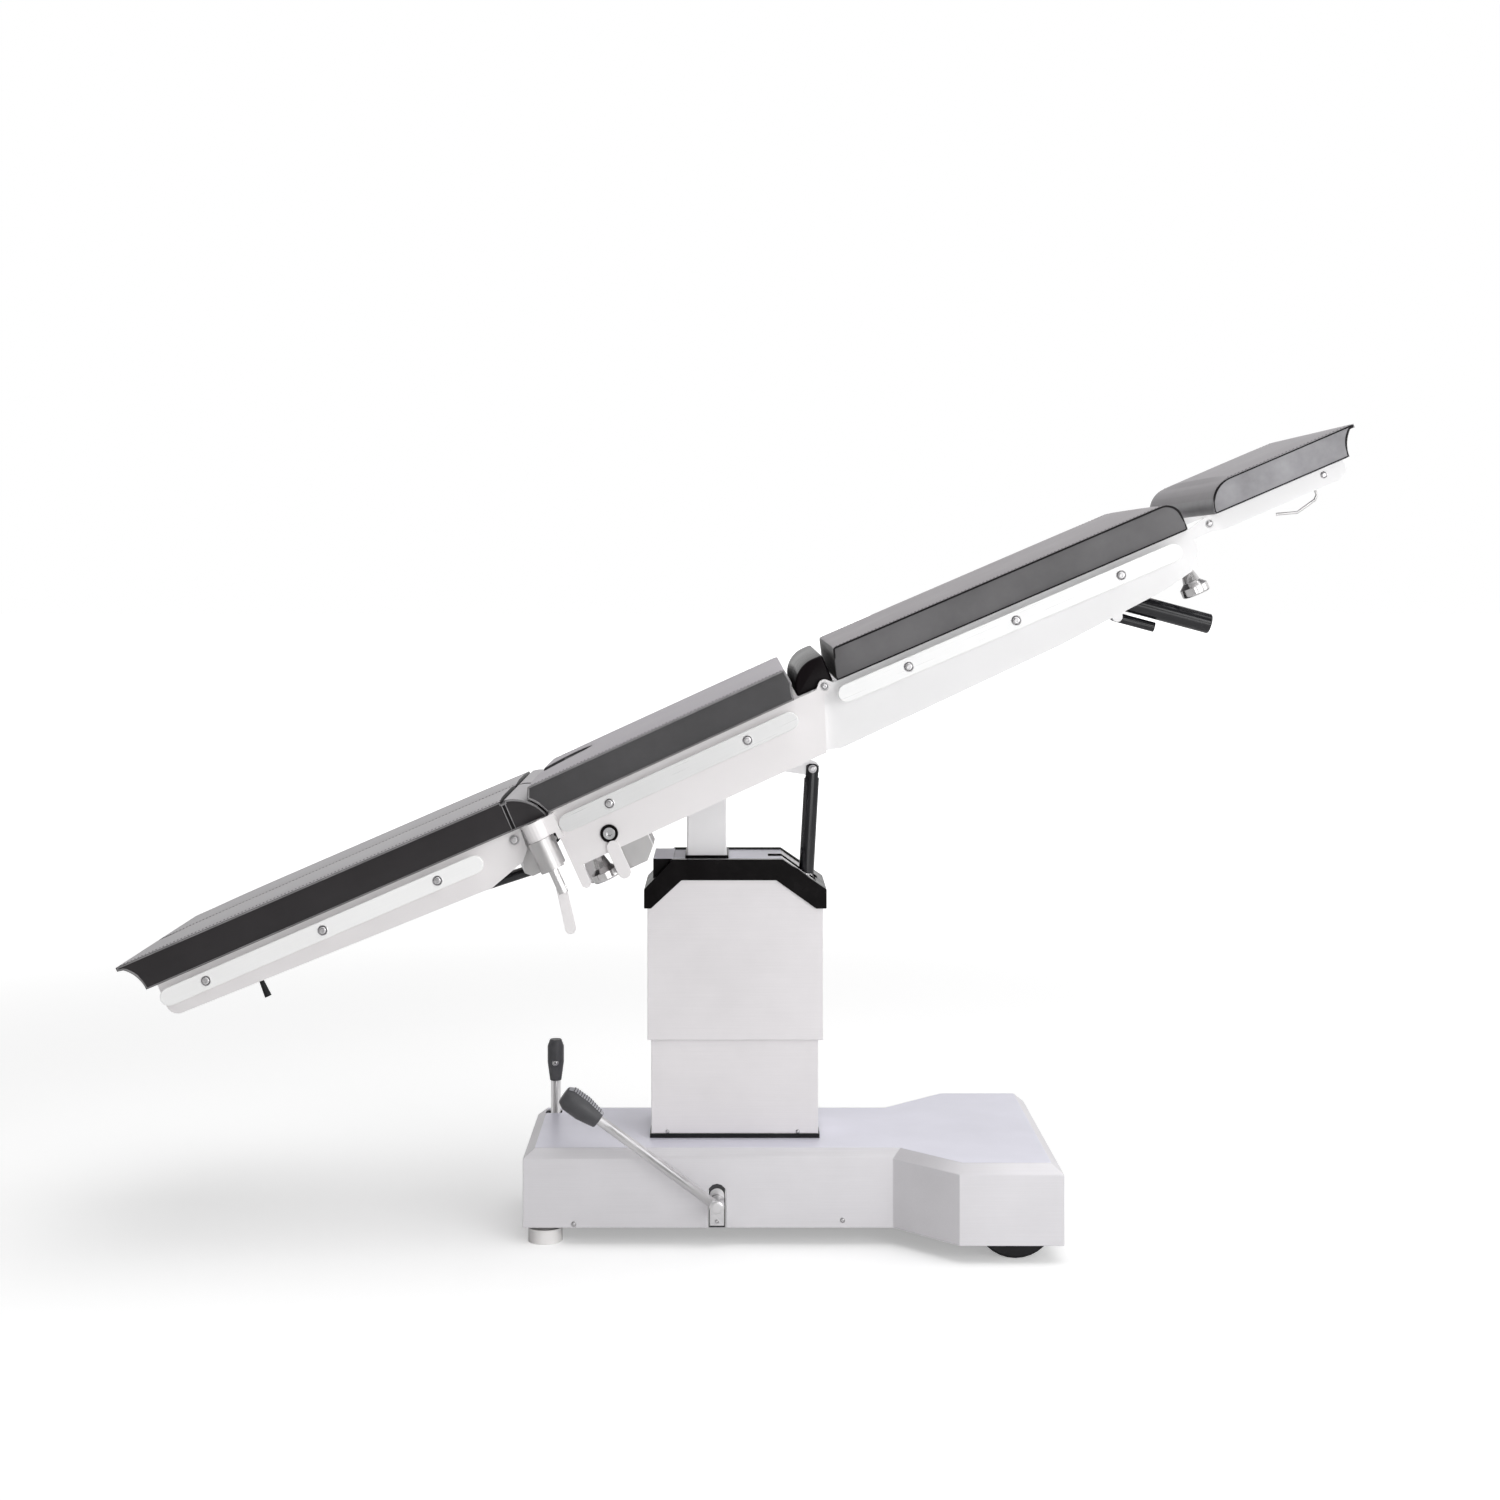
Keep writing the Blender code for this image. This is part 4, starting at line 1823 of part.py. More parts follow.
def build_back(frame):
    back_out = PLATE_OUT - PLATE_WALL - PLANE_GAP
    back_in = back_out - PLATE_WALL
    plate = [
        (BACK_LOW_HIP_U, BACK_LOW_HIP_W),
        (BACK_LOW_START_U, BACK_LOW_START_W),
        (BACK_LOW_MID_U, BACK_LOW_MID_W),
        (BACK_LOW_BEND_U, BACK_LOW_BEND_W),
        (BACK_END_LOW_U, BACK_END_LOW_W),
        (BACK_END_U, BACK_END_W),
        (BACK_END_U, NECK_W - NECK_LUG_RADIUS),
        *arc((NECK_U, NECK_W), NECK_LUG_RADIUS, -90, 90),
        (BACK_END_U, 0),
        (HIP_LUG_SHOULDER, 0),
        *arc((0, 0), HIP_LUG_RADIUS, 30, 190),
    ]
    back = piece("back_frame", prism(plate, *span(NEAR, back_in, back_out)), WHITE_METAL, frame)
    add(back, prism(plate, *span(FAR, back_in, back_out)))
    for u in (BACK_BEAM_HIP_U, BACK_BEAM_MID_U, BACK_BEAM_NECK_U):
        add(
            back,
            block(
                (u, -back_in - FUSE, -BACK_BEAM_DEPTH),
                (u + BACK_BEAM_WIDTH, back_in + FUSE, 0),
            ),
        )
    for side in (NEAR, FAR):
        add(
            back,
            rod(
                (0, side * (back_out - FUSE), 0),
                (0, side * (PLATE_OUT + FUSE), 0),
                HIP_PIN_RADIUS,
            ),
        )
        cut(
            back,
            hole(
                (NECK_U, side * (back_in - OVERRUN), NECK_W),
                (NECK_U, side * (back_out + OVERRUN), NECK_W),
                NECK_PIN_RADIUS,
            ),
        )
    boss_low, boss_high = span(NEAR, KNOB_Y - KNOB_BOSS_HALF, back_in + FUSE)
    boss_top = BACK_KNOB_BOSS_LOW + KNOB_BOSS_HEIGHT
    bracket = [
        (GRIP_BRACKET_U, GRIP_BRACKET_LOW),
        tuple(GRIP_START - GRIP_NORMAL * GRIP_BRACKET_HALF),
        tuple(GRIP_START + GRIP_NORMAL * GRIP_BRACKET_HALF),
        (GRIP_U + GRIP_NORMAL.x * GRIP_BRACKET_HALF, GRIP_BRACKET_TOP),
        (GRIP_BRACKET_U, GRIP_BRACKET_TOP),
    ]
    lug = arc(tuple(TRIGGER_START), TRIGGER_EYE_RADIUS, 170, 330) + [
        tuple(GRIP_START),
        (GRIP_BRACKET_U, GRIP_BRACKET_LOW + OVERRUN),
    ]
    add(
        back,
        block(
            (BACK_KNOB_U - KNOB_BOSS_HALF, boss_low, BACK_KNOB_BOSS_LOW),
            (BACK_KNOB_U + KNOB_BOSS_HALF, boss_high, boss_top),
        ),
        prism(bracket, *span(NEAR, GRIP_BRACKET_IN, back_in + FUSE)),
        prism(lug, *span(NEAR, TRIGGER_LUG_IN, back_in + FUSE * 2)),
        rod(
            (TRIGGER_START.x, -TRIGGER_LUG_IN - FUSE, TRIGGER_START.y),
            (TRIGGER_START.x, -GRIP_Y + TRIGGER_RADIUS - GAP, TRIGGER_START.y),
            TRIGGER_PIN_RADIUS,
            segments=SMALL_SEGMENTS,
        ),
    )
    cut(
        back,
        hole(
            (BACK_KNOB_U, -KNOB_Y, BACK_KNOB_BOSS_LOW - OVERRUN),
            (BACK_KNOB_U, -KNOB_Y, boss_top - OVERRUN),
            KNOB_STEM_RADIUS,
        ),
    )
    rail_length = BACK_RAIL_NECK - BACK_RAIL_HIP
    bosses = [BACK_RAIL_HIP + rail_length * share for share in BACK_RAIL_BOSS_SHARES]
    for side, name in SIDES:
        rail(
            "back_rail_" + name,
            BACK_RAIL_HIP,
            BACK_RAIL_NECK,
            BACK_RAIL_W,
            bosses,
            back_out,
            side,
            frame,
        )
    build_grip(frame)
    build_knob("head_knob", BACK, BACK_KNOB_U, -KNOB_Y, BACK_KNOB_BOSS_LOW, frame)


def in_plane(point, y):
    return (point.x, y, point.y)


def build_grip(frame):
    start = GRIP_START + GRIP_RUN * GAP
    end = Vector((GRIP_END_U, GRIP_END_W))
    grip = piece(
        "back_grip",
        rod(in_plane(start, -GRIP_Y), in_plane(end, -GRIP_Y), GRIP_RADIUS),
        BLACK_GLOSS,
        frame,
    )
    bevel(grip, TRIGGER_PIN_RADIUS / 2, 1, TRIGGER_SHARP_ANGLE)

    squeeze = Frame("trigger_axis", BACK, in_plane(TRIGGER_START, -GRIP_Y), frame)
    trigger = piece(
        "grip_trigger",
        rod(
            in_plane(TRIGGER_START, -GRIP_Y),
            in_plane(TRIGGER_START + GRIP_RUN * TRIGGER_LENGTH, -GRIP_Y),
            TRIGGER_RADIUS,
        ),
        BLACK_GLOSS,
        squeeze,
    )
    add(
        trigger,
        rod(
            in_plane(TRIGGER_START, -GRIP_Y - TRIGGER_RADIUS),
            in_plane(TRIGGER_START, -GRIP_Y + TRIGGER_RADIUS),
            TRIGGER_EYE_RADIUS - GAP,
        ),
    )
    cut(
        trigger,
        hole(
            in_plane(TRIGGER_START, -GRIP_Y - GRIP_RADIUS),
            in_plane(TRIGGER_START, -GRIP_Y + GRIP_RADIUS),
            TRIGGER_PIN_RADIUS,
            SMALL_SEGMENTS,
        ),
    )


def build_head(back_frame):
    frame = Frame("neck_axis", BACK, (NECK_U, 0, NECK_W), back_frame)
    head_out = PLATE_OUT - 2 * (PLATE_WALL + PLANE_GAP)
    head_in = head_out - PLATE_WALL
    plate = arc((NECK_U, NECK_W), NECK_LUG_RADIUS, 110, 260) + [
        (NECK_U + NECK_LUG_SHOULDER, HEAD_PLATE_LOW),
        (HEAD_END_U - NECK_LUG_RADIUS, HEAD_PLATE_LOW),
        (HEAD_END_U, HEAD_PLATE_LOW + NECK_LUG_RADIUS),
        (HEAD_END_U, HEAD_PLATE_TOP),
        (NECK_U + NECK_LUG_RADIUS, HEAD_PLATE_TOP),
    ]
    head = piece("head_frame", prism(plate, *span(NEAR, head_in, head_out)), WHITE_METAL, frame)
    add(head, prism(plate, *span(FAR, head_in, head_out)))
    for share in HEAD_BEAM_SHARES:
        u = NECK_U + (HEAD_END_U - NECK_U) * share
        add(
            head,
            block(
                (u, -head_in - FUSE, HEAD_PLATE_TOP - HEAD_BEAM_DEPTH),
                (u + HEAD_BEAM_WIDTH, head_in + FUSE, HEAD_PLATE_TOP),
            ),
        )
    for side in (NEAR, FAR):
        add(
            head,
            rod(
                (NECK_U, side * (head_out - FUSE), NECK_W),
                (NECK_U, side * (head_out + PLANE_GAP + PLATE_WALL + FUSE), NECK_W),
                NECK_PIN_RADIUS,
            ),
        )
    eye_half = HEAD_LEVER_EYE_HALF
    add(
        head,
        rod(
            (HEAD_LEVER_U, -head_in - FUSE, HEAD_LEVER_W),
            (HEAD_LEVER_U, -HEAD_LEVER_Y + eye_half, HEAD_LEVER_W),
            HEAD_LEVER_WIRE,
            segments=SMALL_SEGMENTS,
        ),
    )

    turn = Frame("head_lever_axis", BACK, (HEAD_LEVER_U, -HEAD_LEVER_Y, HEAD_LEVER_W), frame)
    route = (
        (HEAD_LEVER_U, HEAD_LEVER_W - HEAD_LEVER_EYE / 2),
        (HEAD_LEVER_U, HEAD_LEVER_W - HEAD_LEVER_DROP),
        (HEAD_LEVER_U - HEAD_LEVER_BEND, HEAD_LEVER_W - HEAD_LEVER_DROP - HEAD_LEVER_BEND),
        (HEAD_LEVER_MID_U, HEAD_LEVER_MID_W),
        (HEAD_LEVER_TIP_U, HEAD_LEVER_TIP_W),
    )
    lever = piece("head_lever", wire(route, -HEAD_LEVER_Y, HEAD_LEVER_WIRE), CHROME, turn)
    add(
        lever,
        rod(
            (HEAD_LEVER_U, -HEAD_LEVER_Y - eye_half, HEAD_LEVER_W),
            (HEAD_LEVER_U, -HEAD_LEVER_Y + eye_half, HEAD_LEVER_W),
            HEAD_LEVER_EYE,
        ),
    )
    cut(
        lever,
        hole(
            (HEAD_LEVER_U, -HEAD_LEVER_Y - eye_half * 2, HEAD_LEVER_W),
            (HEAD_LEVER_U, -HEAD_LEVER_Y + eye_half * 2, HEAD_LEVER_W),
            HEAD_LEVER_WIRE,
            SMALL_SEGMENTS,
        ),
    )
    return frame


def wire(route, y, radius):
    """A bent wire through points of a section's plane."""
    curve = bpy.data.curves.new("wire", "CURVE")
    curve.dimensions = "3D"
    curve.bevel_depth = radius
    curve.bevel_resolution = 2
    curve.use_fill_caps = True
    spline = curve.splines.new("POLY")
    spline.points.add(len(route) - 1)
    for point, (u, w) in zip(spline.points, route):
        point.co = (u, y, w, 1)
    drawn = bpy.data.objects.new("wire", curve)
    parts.objects.link(drawn)
    mesh = bpy.data.meshes.new_from_object(drawn)
    bpy.data.objects.remove(drawn, do_unlink=True)
    bm = bmesh.new()
    bm.from_mesh(mesh)
    bmesh.ops.remove_doubles(bm, verts=bm.verts, dist=MERGE)
    return finish_mesh(bm, "wire")


def cushion(name, outline, low_y, high_y, floor, top, frame):
    """A padded section: a side outline made wide, crowned on top and drawn in at its foot."""
    mesh = prism(outline, low_y, high_y)
    bm = bmesh.new()
    bm.from_mesh(mesh)
    bmesh.ops.dissolve_limit(bm, angle_limit=MERGE, verts=bm.verts, edges=bm.edges)
    low_u = min(v.co.x for v in bm.verts)
    high_u = max(v.co.x for v in bm.verts)
    cuts = [((low_u + (high_u - low_u) * s, 0, 0), (1, 0, 0)) for s in CUSHION_CUT_SHARES]
    cuts += [((0, low_y + (high_y - low_y) * s, 0), (0, 1, 0)) for s in CUSHION_CUT_SHARES]
    cuts += [((0, 0, (floor + top) / 2), (0, 0, 1))]
    for place, normal in cuts:
        geometry = bm.verts[:] + bm.edges[:] + bm.faces[:]
        bmesh.ops.bisect_plane(bm, geom=geometry, plane_co=place, plane_no=normal, dist=MERGE)
    middle_y = (low_y + high_y) / 2
    half_y = (high_y - low_y) / 2
    for v in bm.verts:
        across = abs(v.co.y - middle_y) / half_y
        along = abs(2 * (v.co.x - low_u) / (high_u - low_u) - 1)
        height = (v.co.z - floor) / (top - floor)
        if v.co.z > top - MERGE:
            v.co.z += CUSHION_CROWN * (1 - across**2) * (1 - along**4)
        if across > EDGE_SHARE:
            v.co.y += math.copysign(CUSHION_DRAW * (1 - height), middle_y - v.co.y)
    pad = piece(name, finish_mesh(bm, name), CUSHION_GREY, frame)
    bevel(pad, CUSHION_ROUND, 2, CUSHION_SHARP_ANGLE)
    return pad


def build_cushions(seat_frame, back_frame, head_frame, leg_frames):
    half = CUSHION_HALF
    knee_arc = KNEE_ARC + KNEE_ARC_GAP
    knee_low = math.degrees(math.asin((GAP - KNEE_W) / knee_arc))
    knee_high = math.degrees(math.acos((SEAT_CUSHION_LIP_U - KNEE_U) / knee_arc))
    seat = [
        *arc((0, 0), HIP_ARC + HIP_ARC_GAP, 150, 179.6),
        *arc((KNEE_U, KNEE_W), knee_arc, knee_low, knee_high),
        (SEAT_CUSHION_LEG_TOP_U, CUSHION),
        (SEAT_CUSHION_HIP_TOP_U, CUSHION),
    ]
    pad = cushion("seat_cushion", seat, -half, half, GAP, CUSHION, seat_frame)
    bay = slot_outline(
        (SEAT_CUSHION_LEG_TOP_U - CUTOUT_HALF, 0), (CUTOUT_END_U - CUTOUT_HALF, 0), CUTOUT_HALF
    )
    cut(pad, prism(bay, -CUSHION, CUSHION * 2, "xy"))

    bolster = [
        (BOLSTER_END_U, GAP),
        (BOLSTER_END_U, HIP_ARC),
        *arc((0, 0), HIP_ARC, 90, 179.6),
    ]
    bolster_half = half - BOLSTER_SET_BACK
    piece(
        "back_bolster",
        prism(bolster, -bolster_half, bolster_half),
        CUSHION_GREY,
        back_frame,
    )
    centre = (BACK_CUSHION_END_U - BACK_CUSHION_ROUND, CUSHION - BACK_CUSHION_ROUND)
    back = [
        (BACK_CUSHION_LOW_U, GAP),
        (BACK_CUSHION_END_U, GAP),
        *arc(centre, BACK_CUSHION_ROUND, 0, 90),
        (BACK_CUSHION_TOP_U, CUSHION),
    ]
    cushion("back_cushion", back, -half, half, GAP, CUSHION, back_frame)

    floor = HEAD_PLATE_TOP + GAP
    round_centre = (HEAD_CUSHION_LOW_U + HEAD_CUSHION_ROUND, CUSHION - HEAD_CUSHION_ROUND)
    head = [
        (HEAD_CUSHION_LOW_U, floor),
        *arc((HEAD_CUSHION_END_U + TIP_ARC, floor), TIP_ARC, 180, 132),
        (HEAD_CUSHION_TIP_U, CUSHION - TIP_LIP),
        (HEAD_CUSHION_TIP_U, CUSHION),
        *arc(round_centre, HEAD_CUSHION_ROUND, 90, 176),
    ]
    cushion("head_cushion", head, -half, half, floor, CUSHION, head_frame)

    floor = LEG_CUSHION_LOW_W
    top = floor + CUSHION
    nose_start = math.degrees(math.asin(floor / KNEE_ARC))
    nose_end = math.degrees(math.acos((LEG_GROOVE_U + LEG_GROOVE_WIDTH) / KNEE_ARC))
    leg = [
        *arc((0, 0), KNEE_ARC, nose_start, nose_end, ARC_STEPS * 2),
        (LEG_GROOVE_U + LEG_GROOVE_WIDTH, top - LEG_GROOVE_DEPTH),
        (LEG_GROOVE_U, top - LEG_GROOVE_DEPTH),
        (LEG_GROOVE_U, top),
        (LEG_CUSHION_TIP_U, top),
        (LEG_CUSHION_TIP_U, top - TIP_LIP),
        *arc((LEG_CUSHION_FOOT_U - TIP_ARC, floor), TIP_ARC, 52, 0),
    ]
    for (side, name), frame in zip(SIDES, leg_frames):
        low, high = span(side, LEG_CUSHION_GAP, half)
        cushion("leg_cushion_" + name, leg, low, high, floor, top, frame)


floor_frame = Frame("floor", WORLD, (0, 0, 0))
build_base(floor_frame)
build_lower_column(floor_frame)
build_wheels()
build_castor()
build_lock_feet()
build_brake()
build_pump()
lift = Frame("lift_axis", WORLD, (LIFT_X, 0, LIFT_RAM_LOW))
build_upper_column(lift)
trend = Frame("trendelenburg_axis", SEAT, (PIVOT_U, 0, PIVOT_W), lift)
build_saddle(trend)
build_tilt_cylinder(trend)
seat_plane = Frame("lateral_axis", SEAT, (PIVOT_U, 0, PIVOT_W), trend)
build_seat(seat_plane)
build_seat_controls(seat_plane)
hip = Frame("hip_axis", BACK, (0, 0, 0), seat_plane)
build_back(hip)
neck = build_head(hip)
knees = [build_leg(side, name, seat_plane) for side, name in SIDES]
build_cushions(seat_plane, hip, neck, knees)
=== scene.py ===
import json
import math

import bmesh
import bpy
from mathutils import Matrix, Vector


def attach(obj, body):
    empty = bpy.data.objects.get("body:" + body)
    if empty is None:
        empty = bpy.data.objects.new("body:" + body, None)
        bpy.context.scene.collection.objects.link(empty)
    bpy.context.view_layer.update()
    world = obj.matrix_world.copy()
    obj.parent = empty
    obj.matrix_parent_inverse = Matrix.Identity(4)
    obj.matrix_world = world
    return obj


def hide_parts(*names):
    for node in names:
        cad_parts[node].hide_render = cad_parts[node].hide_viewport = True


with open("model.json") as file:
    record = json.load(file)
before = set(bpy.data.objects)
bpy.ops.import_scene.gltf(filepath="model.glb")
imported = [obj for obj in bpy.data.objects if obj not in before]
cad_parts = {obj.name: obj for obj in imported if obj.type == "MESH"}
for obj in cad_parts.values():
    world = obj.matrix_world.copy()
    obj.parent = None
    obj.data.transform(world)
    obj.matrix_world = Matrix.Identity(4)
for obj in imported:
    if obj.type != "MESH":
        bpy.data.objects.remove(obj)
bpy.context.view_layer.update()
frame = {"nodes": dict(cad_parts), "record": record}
print("frame loaded", len(frame["nodes"]), "nodes")

bodies = frame["record"]["behaviour"]["bodies"]
bodyOfNode = {node: body for body, nodes in bodies.items() for node in nodes}


# the tilted planes that the top's sections lie in: along u, across y, up w
def sectionMatrix(originX, originZ, degrees):
    return Matrix.Translation((originX, 0, originZ)) @ Matrix.Rotation(-math.radians(degrees), 4, "Y")


topPlanes = {
    "hip": (0.1328, 0.8701),
    "seatTilt": 24.6,
    "backTilt": 23.3,
    "legTilt": 23.4,
    "knee": (-0.518, -0.016),
}
worldPlane = Matrix.Identity(4)
seatPlane = sectionMatrix(*topPlanes["hip"], topPlanes["seatTilt"])
backPlane = sectionMatrix(*topPlanes["hip"], topPlanes["backTilt"])
kneePoint = seatPlane @ Vector((topPlanes["knee"][0], 0, topPlanes["knee"][1]))
legPlane = sectionMatrix(kneePoint.x, kneePoint.z, topPlanes["legTilt"])


def newObject(name, data):
    thing = bpy.data.objects.new(name, data)
    bpy.context.scene.collection.objects.link(thing)
    return thing


# camera, placed from the photograph's vanishing point and the object's known width
cameraSetup = {"place": (-0.012, -3.56, 1.044), "lens": 53.16, "shift": (0.0147, -0.12)}
cameraData = bpy.data.cameras.new("photoCamera")
cameraData.lens = cameraSetup["lens"]
cameraData.sensor_width = 36
cameraData.shift_x, cameraData.shift_y = cameraSetup["shift"]
photoCamera = newObject("photoCamera", cameraData)
photoCamera.location = cameraSetup["place"]
photoCamera.rotation_euler = (math.radians(90), 0, 0)
bpy.context.scene.camera = photoCamera
bpy.context.scene.view_settings.view_transform = "Standard"


# nodes for materials, repeated pieces and the stage; an input is given as a value or as a socket
def setInputs(tree, node, inputs):
    for label, value in inputs.items():
        if isinstance(value, bpy.types.NodeSocket):
            tree.links.new(value, node.inputs[label])
        else:
            node.inputs[label].default_value = value
    return node


def addNode(tree, kind, inputs=None, **settings):
    node = tree.nodes.new(kind)
    for label, value in settings.items():
        setattr(node, label, value)
    return setInputs(tree, node, inputs or {})


def fromNode(tree, kind, output, inputs=None, **settings):
    return addNode(tree, kind, inputs, **settings).outputs[output]


def newMaterial(name):
    material = bpy.data.materials.new(name)
    material.use_nodes = True
    tree = material.node_tree
    return material, tree, next(node for node in tree.nodes if node.type == "BSDF_PRINCIPLED")


def objectCoords(tree, scale=(1, 1, 1), tilt=0.0):
    coords = fromNode(tree, "ShaderNodeTexCoord", "Object")
    if tilt:
        turned = {"Vector": coords, "Rotation": (0, math.radians(tilt), 0)}
        coords = fromNode(tree, "ShaderNodeMapping", "Vector", turned)
    return fromNode(tree, "ShaderNodeMapping", "Vector", {"Vector": coords, "Scale": scale})


def noise(tree, vector, scale, detail, roughness=0.55):
    inputs = {"Vector": vector, "Scale": scale, "Detail": detail, "Roughness": roughness}
    return fromNode(tree, "ShaderNodeTexNoise", "Fac", inputs)


def ramp(tree, value, low, high, lowAt=0.35, highAt=0.65):
    node = addNode(tree, "ShaderNodeValToRGB", {"Fac": value})
    for element, position, colour in zip(node.color_ramp.elements, (lowAt, highAt), (low, high)):
        element.position = position
        element.color = (*colour, 1)
    return node.outputs["Color"]


def mapRange(tree, value, low, high, fromLow=0.3, fromHigh=0.7, **settings):
    inputs = {"Value": value, "From Min": fromLow, "From Max": fromHigh, "To Min": low, "To Max": high}
    return fromNode(tree, "ShaderNodeMapRange", "Result", inputs, **settings)


def multiplyColours(tree, first, second):
    node = addNode(tree, "ShaderNodeMix", {0: 1.0}, data_type="RGBA", blend_type="MULTIPLY")
    colours = [socket for socket in node.inputs if socket.type == "RGBA"]
    tree.links.new(first, colours[0])
    tree.links.new(second, colours[1])
    return next(socket for socket in node.outputs if socket.type == "RGBA")


def bump(tree, height, strength, distance, under=None):
    inputs = {"Strength": strength, "Distance": distance, "Height": height}
    if under is not None:
        inputs["Normal"] = under
    return fromNode(tree, "ShaderNodeBump", "Normal", inputs)


# a value that swings between two shares of itself with a pattern
def spread(tree, pattern, value, lowest, highest):
    return mapRange(tree, pattern, value * lowest, value * highest)


def toned(colour, share):
    return tuple(min(1, channel * share) for channel in colour)


# brushed sheet: long fine scratches along it, faint clouds, soft wear
brushing = {"along": 9.0, "across": 900.0, "cloudScale": 7.0, "bump": 0.12, "depth": 0.0003}


def brushedSteel(name, colour, roughness, metallic, grain, cloud=0.03, tilt=0.0):
    material, tree, shader = newMaterial(name)
    stretched = objectCoords(tree, (brushing["along"], brushing["across"], brushing["across"]), tilt)
    lines = noise(tree, stretched, 1.0, 2.0)
    clouds = noise(tree, objectCoords(tree), brushing["cloudScale"], 4.0)
    base = ramp(tree, clouds, toned(colour, 1 - cloud), toned(colour, 1 + cloud))
    scratches = ramp(tree, lines, [1 - grain] * 3, (1, 1, 1))
    setInputs(tree, shader, {
        "Base Color": multiplyColours(tree, base, scratches),
        "Roughness": spread(tree, lines, roughness, 0.8, 1.25),
        "Metallic": metallic,
        "Normal": bump(tree, lines, brushing["bump"], brushing["depth"]),
    })
    return material


# powder coat or paint: orange peel and faint clouds under a thin clear coat
coating = {
    "cloudScale": 5.0, "shade": 0.965, "coat": 0.15, "coatRoughness": 0.2,
    "peelScale": 420.0, "peel": 0.08, "depth": 0.0004,
}


def paintedCoat(name, colour, roughness):
    material, tree, shader = newMaterial(name)
    coords = objectCoords(tree)
    clouds = noise(tree, coords, coating["cloudScale"], 4.0)
    peel = noise(tree, coords, coating["peelScale"], 2.0)
    setInputs(tree, shader, {
        "Base Color": ramp(tree, clouds, toned(colour, coating["shade"]), colour),
        "Roughness": spread(tree, clouds, roughness, 0.9, 1.15),
        "Coat Weight": coating["coat"],
        "Coat Roughness": coating["coatRoughness"],
        "Normal": bump(tree, peel, coating["peel"], coating["depth"]),
    })
    return material


# polished or cast metal: faint smudges, and pits where it is cast
polish = {"smudgeScale": 28.0, "shade": 0.9, "bump": 0.012, "depth": 0.0003}


def polishedMetal(name, colour, roughness, cast=0.0, pits=600.0):
    material, tree, shader = newMaterial(name)
    coords = objectCoords(tree)
    smudge = noise(tree, coords, polish["smudgeScale"], 4.0)
    setInputs(tree, shader, {
        "Base Color": ramp(tree, smudge, toned(colour, polish["shade"]), colour),
        "Roughness": spread(tree, smudge, roughness, 0.7, 1.4),
        "Metallic": 1.0,
        "Normal": bump(tree, noise(tree, coords, pits, 3.0), polish["bump"] + cast, polish["depth"]),
    })
    return material


# plastic or rubber: fine grain, and lighter worn places
moulding = {"wearScale": 30.0, "wearShare": 1.5, "wearLift": 0.004, "depth": 0.0003}


def mouldedPlastic(name, colour, roughness, grainScale=500, grain=0.1, shine=0.4):
    material, tree, shader = newMaterial(name)
    coords = objectCoords(tree)
    wear = noise(tree, coords, moulding["wearScale"], 4.0)
    worn = tuple(min(1, channel * moulding["wearShare"] + moulding["wearLift"]) for channel in colour)
    setInputs(tree, shader, {
        "Base Color": ramp(tree, wear, colour, worn, 0.45, 0.8),
        "Roughness": spread(tree, wear, roughness, 0.85, 1.3),
        "Specular IOR Level": shine,
        "Normal": bump(tree, noise(tree, coords, grainScale, 2.0), grain, moulding["depth"]),
    })
    return material


# coated cloth: small leather cells over faint creases
vinyl = {
    "cellScale": 520.0, "cellRise": 0.12, "cellBump": 0.12, "cellDepth": 0.0002,
    "cloudScale": 9.0, "foldScale": 14.0, "foldStretch": (1.0, 2.2, 1.0),
    "foldBump": 0.25, "foldDepth": 0.002,
}


def cushionVinyl(name, colour, roughness, mottle=0.12, shine=0.35):
    material, tree, shader = newMaterial(name)
    coords = objectCoords(tree)
    cell = {"Vector": coords, "Scale": vinyl["cellScale"]}
    cells = fromNode(tree, "ShaderNodeTexVoronoi", "Distance", cell, feature="DISTANCE_TO_EDGE")
    clouds = noise(tree, coords, vinyl["cloudScale"], 5.0, 0.6)
    folds = noise(tree, objectCoords(tree, vinyl["foldStretch"]), vinyl["foldScale"], 5.0, 0.6)
    creased = bump(tree, folds, vinyl["foldBump"], vinyl["foldDepth"])
    edges = mapRange(tree, cells, 0, 1, 0, vinyl["cellRise"])
    setInputs(tree, shader, {
        "Base Color": ramp(tree, clouds, toned(colour, 1 - mottle), toned(colour, 1 + mottle)),
        "Roughness": spread(tree, clouds, roughness, 0.88, 1.12),
        "Specular IOR Level": shine,
        "Normal": bump(tree, edges, vinyl["cellBump"], vinyl["cellDepth"], creased),
    })
    return material


